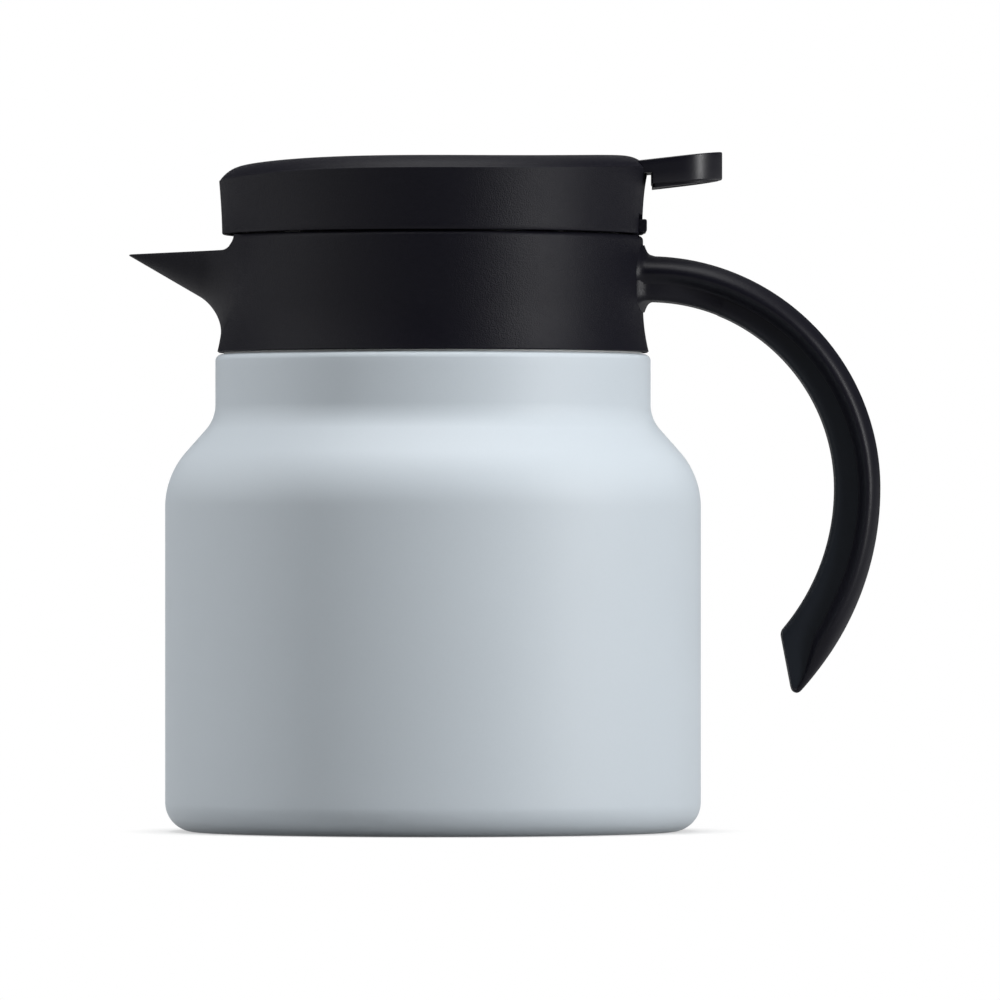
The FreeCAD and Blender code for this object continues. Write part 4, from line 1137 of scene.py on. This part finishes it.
# Floor: its grey to light and to the viewer, and its glow, which grows away from the jug
FLOOR_HALF = 4.0
FLOOR_GREY, FLOOR_SEEN_GREY = 0.32, 0.70
FLOOR_GLOW = 0.50
FLOOR_NEAR, FLOOR_FAR = 0.060, 0.077
WORLD_LIGHT = 0.05

# Lamps: azimuth and elevation in degrees, distance, width, height and watts
LAMP_TARGET = Vector((0.0, 0.0, 0.085))
LAMPS = {
    "key": (61.0, 10.0, 0.90, 0.15, 0.70, 9.4),
    "left": (-70.0, 22.0, 1.70, 3.00, 1.40, 16.2),
    "side": (-112.0, 22.0, 1.70, 2.00, 1.40, 9.1),
    "over": (0.0, 82.0, 1.00, 0.90, 0.70, 12.8),
    "back": (172.0, 24.0, 1.70, 3.00, 1.40, 14.0),
}
FILLS = ("side", "back")

# Dark cards: first and last azimuth
FLAG_RADIUS = 3.6
FLAG_HEIGHT = 8.0
FLAG_STEPS = 13
FLAG_GREY = 0.02
FLAGS = {"front_flag": (-60.0, 46.0), "right_flag": (76.0, 170.0), "left_flag": (-172.0, -104.0)}


def seen(finish):
    """1 for rays from the camera, in gloss or through glass, and 0 for the rest."""
    kinds = ("Is Camera Ray", "Is Glossy Ray", "Is Transmission Ray")
    camera, gloss, glass = (finish.node("ShaderNodeLightPath", {}, {}, kind) for kind in kinds)
    return camera.maths("MAXIMUM", camera.maths("MAXIMUM", camera, gloss), glass)


class JUG_OT_stage(bpy.types.Operator):
    """Sets the pale floor, the backdrop, the soft lamps, the dark cards and the camera"""
    bl_idname = "jug.stage"
    bl_label = "Stage"

    def execute(self, context):
        scene = context.scene
        scene.view_settings.view_transform = "Standard"
        self.floor()
        self.backdrop(scene)
        for name, values in LAMPS.items():
            self.lamp(scene, name, *values)
        for name, (start, end) in FLAGS.items():
            self.flag(name, start, end)
        self.camera(scene)
        return {"FINISHED"}

    def floor(self):
        """Pale floor, partly self-lit to the viewer so that it reads as white and keeps the shadow."""
        f = new_finish("floor")
        viewer = seen(f)
        pale = f.blend(viewer, grey(FLOOR_GREY), grey(FLOOR_SEEN_GREY))
        diffuse = f.node("ShaderNodeBsdfDiffuse", {}, {"Color": pale})
        white = f.node("ShaderNodeEmission", {}, {"Color": grey(1.0), "Strength": 1.0})
        reach = f.node("ShaderNodeVectorMath", {"operation": "LENGTH"}, {0: f.place()}, "Value")
        far = f.smooth_range(reach, FLOOR_NEAR, FLOOR_FAR)
        glow = viewer * (FLOOR_GLOW + far * (1.0 - FLOOR_GLOW))
        shown = f.node("ShaderNodeMixShader", {}, {"Fac": glow, 1: diffuse, 2: white})
        f.node("ShaderNodeOutputMaterial", {}, {"Surface": shown})
        corners = np.array([(-1.0, -1.0, 0.0), (1.0, -1.0, 0.0), (1.0, 1.0, 0.0), (-1.0, 1.0, 0.0)])
        new_object("floor", corners * FLOOR_HALF, [(0, 1, 2, 3)], f.owner)

    def backdrop(self, scene):
        """World that is white to the camera, in gloss and through glass, and lights a little."""
        f = Finish(bpy.data.worlds.new("backdrop"))
        light = f.node("ShaderNodeBackground", {}, {"Color": grey(1.0), "Strength": WORLD_LIGHT})
        white = f.node("ShaderNodeBackground", {}, {"Color": grey(1.0), "Strength": 1.0})
        shown = f.node("ShaderNodeMixShader", {}, {"Fac": seen(f), 1: light, 2: white})
        f.node("ShaderNodeOutputWorld", {}, {"Surface": shown})
        scene.world = f.owner

    def flag(self, name, start, end):
        """Dark card round the set, unseen by the camera, that keeps pale surroundings out of the gloss."""
        turn = np.radians(np.linspace(start, end, FLAG_STEPS))
        foot = np.stack([np.sin(turn), -np.cos(turn), 0.0 * turn], axis=1) * FLAG_RADIUS
        points = np.concatenate([foot, foot + (0.0, 0.0, FLAG_HEIGHT)])
        f = new_finish(name)
        dark = f.node("ShaderNodeBsdfDiffuse", {}, {"Color": grey(FLAG_GREY)})
        f.node("ShaderNodeOutputMaterial", {}, {"Surface": dark})
        card = new_object(name, points, grid_quads(2, FLAG_STEPS, False, False).tolist(), f.owner)
        card.visible_camera = False

    def lamp(self, scene, name, azimuth, elevation, distance, width, height, power):
        """Rectangular lamp aimed at the jug; azimuth 0 is at the camera's side and grows to the right. A
        fill lamp lights the jug and isn't mirrored in its gloss."""
        turn, lift = math.radians(azimuth), math.radians(elevation)
        away = Vector((math.sin(turn) * math.cos(lift), -math.cos(turn) * math.cos(lift), math.sin(lift)))
        data = bpy.data.lights.new(name, "AREA")
        data.shape = "RECTANGLE"
        data.size = width
        data.size_y = height
        data.energy = power
        lamp = bpy.data.objects.new(name, data)
        lamp.location = LAMP_TARGET + away * distance
        lamp.rotation_euler = away.to_track_quat("Z", "Y").to_euler()
        lamp.visible_glossy = name not in FILLS
        scene.collection.objects.link(lamp)

    def camera(self, scene):
        """Level camera in front of the jug, raised in the frame by its shift."""
        data = bpy.data.cameras.new("camera")
        data.sensor_width = SENSOR
        data.lens = SENSOR * CAMERA_DISTANCE / FRAME_WIDTH
        data.shift_y = FRAME_RISE
        data.clip_end = CAMERA_CLIP
        camera = bpy.data.objects.new("camera", data)
        camera.location = (CAMERA_X, -CAMERA_DISTANCE, CAMERA_Z)
        camera.rotation_euler = (math.radians(UPRIGHT), 0.0, 0.0)
        scene.collection.objects.link(camera)
        scene.camera = camera


# Add-on


class JUG_PT_parts(bpy.types.Panel):
    """Lists the jug's settings and the steps that build it"""
    bl_label = "Thermal jug"
    bl_idname = "JUG_PT_parts"
    bl_space_type = "VIEW_3D"
    bl_region_type = "UI"
    bl_category = "Jug"

    def draw(self, context):
        layout = self.layout
        for settings in (context.scene.jug_sizes, context.scene.jug_colours):
            box = layout.box()
            for name in settings.__annotations__:
                box.prop(settings, name)
        for step in STEPS:
            layout.operator(step.bl_idname)


STEPS = (JUG_OT_inner_parts, JUG_OT_flask, JUG_OT_collar, JUG_OT_handle, JUG_OT_lid, JUG_OT_stage)
CLASSES = (JugSizes, JugColours) + STEPS + (JUG_PT_parts,)


def register():
    for cls in CLASSES:
        bpy.utils.register_class(cls)
    bpy.types.Scene.jug_sizes = PointerProperty(type=JugSizes)
    bpy.types.Scene.jug_colours = PointerProperty(type=JugColours)


def unregister():
    del bpy.types.Scene.jug_colours
    del bpy.types.Scene.jug_sizes
    for cls in reversed(CLASSES):
        bpy.utils.unregister_class(cls)


def main():
    register()
    bpy.ops.jug.inner_parts()
    bpy.ops.jug.flask()
    bpy.ops.jug.collar()
    bpy.ops.jug.handle()
    bpy.ops.jug.lid()
    bpy.ops.jug.stage()


if __name__ == "__main__":
    main()
